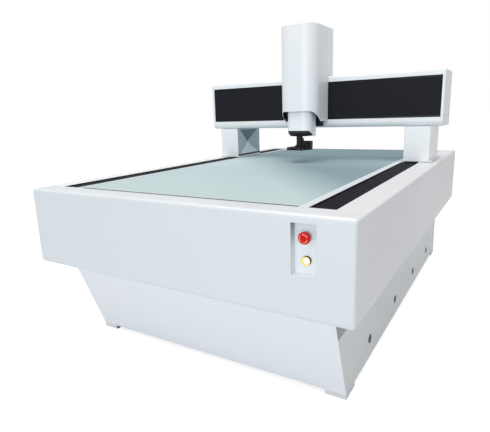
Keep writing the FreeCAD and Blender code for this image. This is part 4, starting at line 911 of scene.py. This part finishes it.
def block_mesh(low, high, edge):
    """Points and faces of a block with bevelled edges: each corner is cut back to three points."""
    low, high = np.array(low, float), np.array(high, float)
    points, index = [], {}
    for corner in np.ndindex(2, 2, 2):
        for axis in range(3):
            point = np.where(np.array(corner) == 1, high - edge, low + edge)
            point[axis] = (high if corner[axis] else low)[axis]
            index[corner, axis] = len(points)
            points.append(point)
    points = np.array(points)
    middle = (low + high) / 2
    loops = []
    for axis in range(3):
        first, second = (a for a in range(3) if a != axis)
        for side in (0, 1):
            loop = []
            for step in ((0, 0), (1, 0), (1, 1), (0, 1)):
                corner = [0, 0, 0]
                corner[axis], corner[first], corner[second] = side, step[0], step[1]
                loop.append(index[tuple(corner), axis])
            loops.append(loop)
        for step in ((0, 0), (1, 0), (1, 1), (0, 1)):
            near, far = [0, 0, 0], [0, 0, 0]
            near[first], near[second] = step
            far[first], far[second] = step
            far[axis] = 1
            near, far = tuple(near), tuple(far)
            loops.append([index[near, first], index[near, second], index[far, second], index[far, first]])
    loops += [[index[corner, axis] for axis in range(3)] for corner in np.ndindex(2, 2, 2)]
    faces = []
    for loop in loops:
        sides = points[loop]
        facing = np.cross(sides[1] - sides[0], sides[2] - sides[1])
        outward = np.dot(facing, sides.mean(axis=0) - middle) > 0
        faces.append(loop if outward else loop[::-1])
    return points, faces


def joined(parts):
    """Several (points, faces) pairs as one."""
    points, faces = [], []
    for part_points, part_faces in parts:
        start = sum(len(p) for p in points)
        points.append(part_points)
        faces += [[i + start for i in face] for face in part_faces]
    return np.concatenate(points), faces


def dressed_piece(name, parts, body, material, stands_for=(), sharp=35.0):
    """Makes an object from its parts, with sharp edges above an angle, and hangs it on its body."""
    piece = mesh_piece(name, *joined(parts))
    piece.data.set_sharp_from_angle(angle=math.radians(sharp))
    piece.data.materials.append(material)
    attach(piece, body)
    if stands_for:
        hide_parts(*stands_for)
    print(f"{name}: {len(piece.data.polygons)} faces")


def middle_of(node):
    """The middle of a node's box, and its two corners."""
    low, high = (np.array(corner, float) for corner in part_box(node))
    return (low + high) / 2, low, high


def face_middle(node, axis, side):
    """The middle of the face of a node's box at the low (0) or high (1) end of an axis."""
    middle, *corners = middle_of(node)
    middle[axis] = corners[side][axis]
    return middle


# %% [markdown]
# ### Emergency stop
# A mushroom of red plastic, nearly 40 mm across. It is moulded: the rim is rounded, and the face is a ring
# round a shallow dish, so that a palm finds it. Three arrows are pad printed on the ring and show the
# way to turn it back. The face is one formula of the radius, so the print lies exactly on it.

# %% The red mushroom and its arrows
stop_back = face_middle("estop_head", 1, 1)
STOP_RADIUS, STOP_DEPTH = 18.8, 14.8
DISH_RADIUS, DISH_DEPTH, SHOULDER = 9.2, 1.6, 4.6


def stop_face(radius):
    """Height of the face over the back of the mushroom.

    Inside the dish it is flat with a slight crown. A half cosine wave lifts it to the ring. Past the
    shoulder it falls like a quarter ellipse to the rim.
    """
    ring = STOP_DEPTH - 0.2
    if radius < DISH_RADIUS - 1.6:
        return ring - DISH_DEPTH + 0.3 * (1 - (radius / DISH_RADIUS) ** 2)
    if radius < DISH_RADIUS:
        part = (radius - (DISH_RADIUS - 1.6)) / 1.6
        start = ring - DISH_DEPTH + 0.3 * (1 - ((DISH_RADIUS - 1.6) / DISH_RADIUS) ** 2)
        return start + (ring - start) * (1 - math.cos(math.pi * part)) / 2
    shoulder_start = STOP_RADIUS - SHOULDER
    if radius < shoulder_start:
        return ring + 0.2 * math.sin(math.pi * (radius - DISH_RADIUS) / (shoulder_start - DISH_RADIUS))
    part = min((radius - shoulder_start) / SHOULDER, 1.0)
    return ring - SHOULDER * (1 - math.sqrt(1 - part ** 2))


# The shoulder's points crowd towards the rim, where the face turns fastest.
shoulder = [STOP_RADIUS - SHOULDER * (1 - math.sin(a)) for a in np.radians(np.linspace(90, 0, 9))]
inner = np.concatenate([np.linspace(STOP_RADIUS - SHOULDER, DISH_RADIUS, 6)[1:],
                        np.linspace(DISH_RADIUS, DISH_RADIUS - 1.6, 6)[1:],
                        np.linspace(DISH_RADIUS - 1.6, 0, 6)[1:]])
profile = [(0, 0), (STOP_RADIUS - 2.8, 0)] + arc(STOP_RADIUS - 1.8, 1.8, 1.8, -90, 0, 5)
profile += [(r, stop_face(r)) for r in shoulder] + [(max(r, 0.0), stop_face(r)) for r in inner]
dressed_piece("estop_mushroom", [lathe_mesh(profile, stop_back, "-Y", 96)], "estop_head", stop_red,
              ["estop_head"], sharp=50)


def arrow_mesh(start, sweep, steps=26):
    """A curved arrow printed on the ring: a band of even width, then a head that tapers to a point.

    Each step is a small rectangle across the arrow: the face plus a lift on top, and less below.
    """
    middle, half = 12.3, 0.80
    head_half, head_share = 1.50, 0.22
    part = np.linspace(0, 1, steps)[:, None]
    reach = np.where(part < 1 - head_share, half, head_half * (1 - part) / head_share + 0.03)
    radius = middle + reach * np.array((-1, 1, 1, -1))
    height = np.vectorize(stop_face)(radius) + np.array((0.10, 0.10, -0.25, -0.25))
    angle = np.radians(start + sweep * part)
    offset = np.stack([radius * np.cos(angle), -height, radius * np.sin(angle)], axis=-1)
    return (stop_back + MM * offset).reshape(-1, 3), tube_faces(steps, 4)


dressed_piece("estop_arrows", [arrow_mesh(start, 88) for start in (22, 142, 262)], "estop_head",
              arrow_cream)

# %% [markdown]
# ### Lit button
# The lens is a milky yellow dome that stands proud of a black ring. The ring is ribbed round its edge,
# so that it can be screwed down by hand from the front.

# %% Lens and ring
lamp_back = face_middle("lamp_button", 1, 1)
LENS_RADIUS, LENS_BACK, LENS_FRONT = 13.4, 20.5, 27.0
dome = [(r, LENS_FRONT - 1.9 * (r / LENS_RADIUS) ** 2) for r in np.linspace(LENS_RADIUS - 0.8, 0, 12)]
profile = [(0, 0), (5, 0), (5, LENS_BACK), (LENS_RADIUS - 0.8, LENS_BACK)]
profile += arc(LENS_RADIUS - 0.8, LENS_BACK + 0.8, 0.8, -90, 0, 4)
profile += arc(LENS_RADIUS - 0.8, dome[0][1] - 0.8, 0.8, 0, 80, 5) + dome[1:]
dressed_piece("lamp_lens", [lathe_mesh(profile, lamp_back, "-Y", 80)], "lamp_button", lit_lens,
              ["lamp_button"], sharp=50)

bezel_back = face_middle("lamp_bezel", 1, 1)


def ribbed_edge(radius, height, angles):
    """Shallow ribs: where the ring is widest, the radius rises and falls in a rectified sine wave."""
    ribs = 0.25 * np.abs(np.sin(angles * 30)) if radius > 14.0 else 0.0
    return np.full(len(angles), float(radius)) - ribs


profile = [(5.1, 0), (11, 0), (11, 30), (13.9, 30), (14.3, 30.4), (14.3, 33.4), (13.9, 34.4),
           (13.4, 35), (12.6, 35), (12.0, 34.2), (5.1, 34.2)]
dressed_piece("lamp_ring", [lathe_mesh(profile, bezel_back, "-Y", 240, ring=True, shape=ribbed_edge)],
              "base", black_plastic, ["lamp_bezel"])

# %% [markdown]
# ### Optics under the ram
# The lens tube is turned aluminium with a knurled grip. The lamp ring is a shallow turned cone clamped
# round it. The board with its light diodes lies in a recess of the underside, and four lugs take a
# filter. The side lamp is a milled block with a finned cooler, whose fins reach down to the cone.

# %% Lens tube, lamp ring, diodes and side lamp
tube_foot = face_middle("lens_barrel", 2, 0)
TUBE_RADIUS, CLAMP_RADIUS, CLAMP_HEIGHT = 18.5, 23.0, 46.0
GRIP = (36.0, 50.0)
clamp_low = (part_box("lens_mount")[0][2] - tube_foot[2]) / MM - 8


def knurl(radius, height, angles):
    """The grip: inside it the radius dips in a triangle wave, shifted by the height to slant the ribs."""
    reach = np.full(len(angles), float(radius))
    if GRIP[0] < height < GRIP[1]:
        wave = np.abs(((angles * 40 / math.pi + height * 0.9) % 2) - 1)
        reach -= 0.55 * wave
    return reach


def grooves(radius, places, width=1.0, depth=0.7):
    """Profile points of narrow grooves cut into a cylinder at some heights."""
    points = []
    for height in places:
        points += [(radius, height), (radius - depth, height + 0.15), (radius - depth, height + width - 0.15),
                   (radius, height + width)]
    return points


rows = [(TUBE_RADIUS, h) for h in np.linspace(GRIP[0], GRIP[1], 15)]
profile = [(0, 0.6), (12.4, 0.6), (13.0, 0), (TUBE_RADIUS - 0.6, 0), (TUBE_RADIUS, 0.6)]
profile += grooves(TUBE_RADIUS, (23.0, 26.5, 32.0)) + rows + grooves(TUBE_RADIUS, (53.0, 62.0, 65.0))
profile += [(TUBE_RADIUS, clamp_low), (CLAMP_RADIUS - 0.4, clamp_low), (CLAMP_RADIUS, clamp_low + 0.4),
            (CLAMP_RADIUS, clamp_low + CLAMP_HEIGHT - 0.4), (CLAMP_RADIUS - 0.4, clamp_low + CLAMP_HEIGHT),
            (TUBE_RADIUS, clamp_low + CLAMP_HEIGHT), (TUBE_RADIUS, 303.5), (18.0, 304), (0, 304)]
dressed_piece("lens_tube", [lathe_mesh(profile, tube_foot, "+Z", 160, shape=knurl)], "ram",
              black_anodised, ["lens_barrel"], sharp=28)

ring_foot = face_middle("ring_light_housing", 2, 0)
RIM_RADIUS, CONE_RADIUS, SKIRT_RADIUS, HUB_RADIUS, BORE = 76.0, 74.6, 60.0, 26.0, 18.56
HUB_FOOT, FIN_FOOT = 24.3, 19.0
CONE_EDGE, CONE_RISE = 18.0, 6.2


def flat_side(radius, height, angles):
    """The hub has a flat towards +X, where the side lamp stands against the tube."""
    reach = np.full(len(angles), float(radius))
    if height > HUB_FOOT and radius > BORE:
        facing = np.maximum(np.cos(angles), 0.5)
        reach = np.minimum(reach, (BORE + 0.1) / facing)
    return reach


cone = [(r, CONE_EDGE + CONE_RISE * ((CONE_RADIUS - r) / (CONE_RADIUS - HUB_RADIUS)) ** 1.15)
        for r in np.linspace(CONE_RADIUS, HUB_RADIUS, 14)]
profile = [(BORE, 6), (SKIRT_RADIUS, 6), (SKIRT_RADIUS, 4.4), (SKIRT_RADIUS + 0.4, 4), (RIM_RADIUS - 1, 4),
           (RIM_RADIUS, 5), (RIM_RADIUS, 16.4)]
profile += arc(RIM_RADIUS - 1.5, 16.5, 1.5, 5, 80, 5) + cone
profile += [(HUB_RADIUS, HUB_FOOT + 0.1), (HUB_RADIUS, 29.2), (HUB_RADIUS - 0.8, 30), (BORE + 0.4, 30),
            (BORE, 29.6)]
dressed_piece("lamp_ring_cone", [lathe_mesh(profile, ring_foot, "+Z", 144, ring=True, shape=flat_side)],
              "ram", black_anodised, ["ring_light_housing"], sharp=40)


def around(radius, count, first=0.0):
    """Places on a circle round the lens axis, as offsets in metres."""
    turns = np.radians(first) + np.arange(count) * 2 * math.pi / count
    return np.stack([np.cos(turns), np.sin(turns), np.zeros(count)], axis=1) * radius * MM


stud = [(0, 0), (4.6, 0), (5.4, 0.8), (5.4, 2.4), (4.4, 3.2), (4.4, 4.3), (0, 4.3)]
studs = [lathe_mesh(stud, ring_foot + step, "+Z", 32) for step in around(69.5, 4, 31)]
dressed_piece("filter_studs", studs, "ram", black_anodised)

board_face = face_middle("ring_light_board", 2, 0)
diode = [(0, -0.1), (1.9, -0.1), (2.1, 0.3), (1.6, 1.2), (0.8, 1.6), (0, 1.7)]
diodes = [
    lathe_mesh(diode, board_face + step, "-Z", 12)
    for radius, count in ((31.0, 20), (37.5, 26), (44.0, 32))
    for step in around(radius, count)
]
dressed_piece("light_diodes", diodes, "ram", milky_panel, sharp=60)

coax_middle, coax_low, coax_high = middle_of("coaxial_light")
coax_top = coax_high[2] - 16 * MM
COAX_BLOCK_SHARE = 0.497
coax_split = coax_low[0] + (coax_high[0] - coax_low[0]) * COAX_BLOCK_SHARE
blocks = [
    block_mesh(coax_low, (coax_split, coax_high[1], coax_top), 0.8 * MM),
    block_mesh((coax_low[0], coax_middle[1] - 8 * MM, coax_top - MM),
               (coax_low[0] + 6 * MM, coax_middle[1] + 8 * MM, coax_high[2]), 0.6 * MM),
    block_mesh((coax_split - MM, coax_low[1] + 4 * MM, coax_low[2] + 4 * MM),
               (coax_high[0] - MM, coax_high[1] - 4 * MM, coax_top - 4 * MM), 0.5 * MM),
]
for i in range(4):
    edge = coax_high[0] - 6 * i * MM
    foot = ring_foot[2] + FIN_FOOT * MM
    blocks.append(block_mesh((edge - 3 * MM, coax_low[1], foot), (edge, coax_high[1], coax_top), 0.5 * MM))
dressed_piece("side_lamp", blocks, "ram", black_anodised, ["coaxial_light"])

# %% [markdown]
# ### Screws, plugs and seals
# Screws hold the sheet covers from the back and the sides. A button head is a low dome with a six-sided
# socket. The outermost faces, on the beam's caps and the rear cover, take countersunk screws, which end
# flush, so that nothing stands past the covers. Plastic plugs close the holes for the lifting bars. A
# black bead of sealant closes the joint between the glass and the frame at both of its ends.

# %% Screws
BUTTON_HEIGHT, FLUSH_HEIGHT = 0.55, 0.03


def socket_screw(place, axis, radius, share):
    """A screw head: a dome with a hexagonal socket, turned in one. Its height is a share of its radius."""
    height = radius * share
    hexagon = radius * 0.42

    def socket(reach, level, angles):
        """The two innermost rows follow a hexagon instead of a circle."""
        if reach > radius * 0.5:
            return np.full(len(angles), float(reach))
        sector = (angles % (math.pi / 3)) - math.pi / 6
        return reach * math.cos(math.pi / 6) / np.cos(sector)

    dome = [(radius * math.cos(t), height * math.sin(t)) for t in np.radians((8, 30, 50, 62))]
    profile = [(0, -0.5), (radius * 0.96, -0.5), (radius, 0.05 * height)] + dome
    profile += [(hexagon * 1.02, height * 0.93), (hexagon, height * 0.35), (0, height * 0.30)]
    return lathe_mesh(profile, place, axis, 24, shape=socket)


def screw_row(name, body, places, axis, radius, material=ground_steel, share=BUTTON_HEIGHT):
    """One object with a screw at each place, given in metres."""
    heads = [socket_screw(place, axis, radius, share) for place in places]
    dressed_piece(name, heads, body, material)


def pattern(low, high, axis, level, insets, columns=2, rows=2):
    """Places in a regular pattern on the face across an axis, an inset in from its edges."""
    first, second = (a for a in range(3) if a != axis)
    places = []
    for a in np.linspace(low[first] + insets[0] * MM, high[first] - insets[0] * MM, columns):
        for b in np.linspace(low[second] + insets[1] * MM, high[second] - insets[1] * MM, rows):
            place = np.zeros(3)
            place[first], place[second], place[axis] = a, b, level
            places.append(place)
    return places


for word, axis, side in (("left", "-X", 0), ("right", "+X", 1)):
    _, low, high = middle_of(f"beam_cap_{word}")
    places = pattern(low, high, 0, (low, high)[side][0], (42, 57))
    screw_row(f"cap_screws_{word}", "gantry", places, axis, 6.0, black_anodised,
              FLUSH_HEIGHT)

# Each row: name, body, cover, inset, columns and rows, radius, height, and where the pattern may start.
over_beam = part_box("beam_front_cover")[1][2] + 12 * MM
REAR_SCREWS = [
    ("beam_rear_screws", "gantry", "beam_rear_cover", 22, (6, 2), 4.0, BUTTON_HEIGHT, 0.0),
    ("head_rear_screws", "head", "head_rear_cover", 20, (2, 3), 4.0, BUTTON_HEIGHT, over_beam),
    ("base_rear_screws", "base", "base_rear_panel", 26, (6, 2), 4.0, BUTTON_HEIGHT, 0.0),
    ("rear_cover_screws", "base", "rear_cover", 40, (5, 2), 4.6, FLUSH_HEIGHT, 0.0),
]
for name, body, cover, inset, counts, radius, share, start in REAR_SCREWS:
    _, low, high = middle_of(cover)
    low[2] = max(low[2], start)
    screw_row(name, body, pattern(low, high, 1, high[1], (inset, inset), *counts), "+Y", radius, share=share)

# %% Plugs, bead and inlet screws
_, low, high = middle_of("hole_plugs")
PLUG_RADIUS, PLUG_COUNT = 19.0, 4
cap = [(0, 0), (15.6, 0), (15.6, 3), (18.4, 3.0)] + arc(18.0, 3.9, 1.0, -60, 60, 4)
cap += [(16.6, 5.0), (13.6, 5.0), (12.9, 4.3), (0, 4.2)]
plugs = []
for axis, start in (("-X", low[0] + 5 * MM), ("+X", high[0] - 5 * MM)):
    for y in np.linspace(low[1] + PLUG_RADIUS * MM, high[1] - PLUG_RADIUS * MM, PLUG_COUNT):
        plugs.append(lathe_mesh(cap, (start, y, (low[2] + high[2]) / 2), axis, 48))
dressed_piece("lifting_plugs", plugs, "base", black_plastic, ["hole_plugs"])


def bead_mesh(start, end, radius, steps=9, sections=24):
    """A bead of sealant along X: a half circle whose height swells a little by a slow sine wave."""
    part = np.linspace(0, 1, sections)[:, None]
    turn = np.linspace(0, math.pi, steps)
    swell = 1 + 0.05 * np.sin(part * 37) + 0.03 * np.sin(part * 91 + 1)
    across = start[0] + (end[0] - start[0]) * part + 0 * turn
    along = start[1] + radius * np.cos(turn) + 0 * part
    height = start[2] + radius * swell * np.sin(turn)
    return np.stack([across, along, height], axis=-1).reshape(-1, 3), tube_faces(sections, steps)


_, low, high = middle_of("glass_plate")
beads = [
    bead_mesh((low[0], y, high[2] - 0.3 * MM), (high[0], y, high[2] - 0.3 * MM), 2.3 * MM)
    for y in (low[1], high[1])
]
dressed_piece("glass_sealant", beads, "base", seal_black)

_, low, high = middle_of("power_inlet")
screw_row("inlet_screws", "base", [((low[0] + high[0]) / 2 + side * 24 * MM, high[1], (low[2] + high[2]) / 2)
                                   for side in (-1, 1)], "+Y", 2.8)
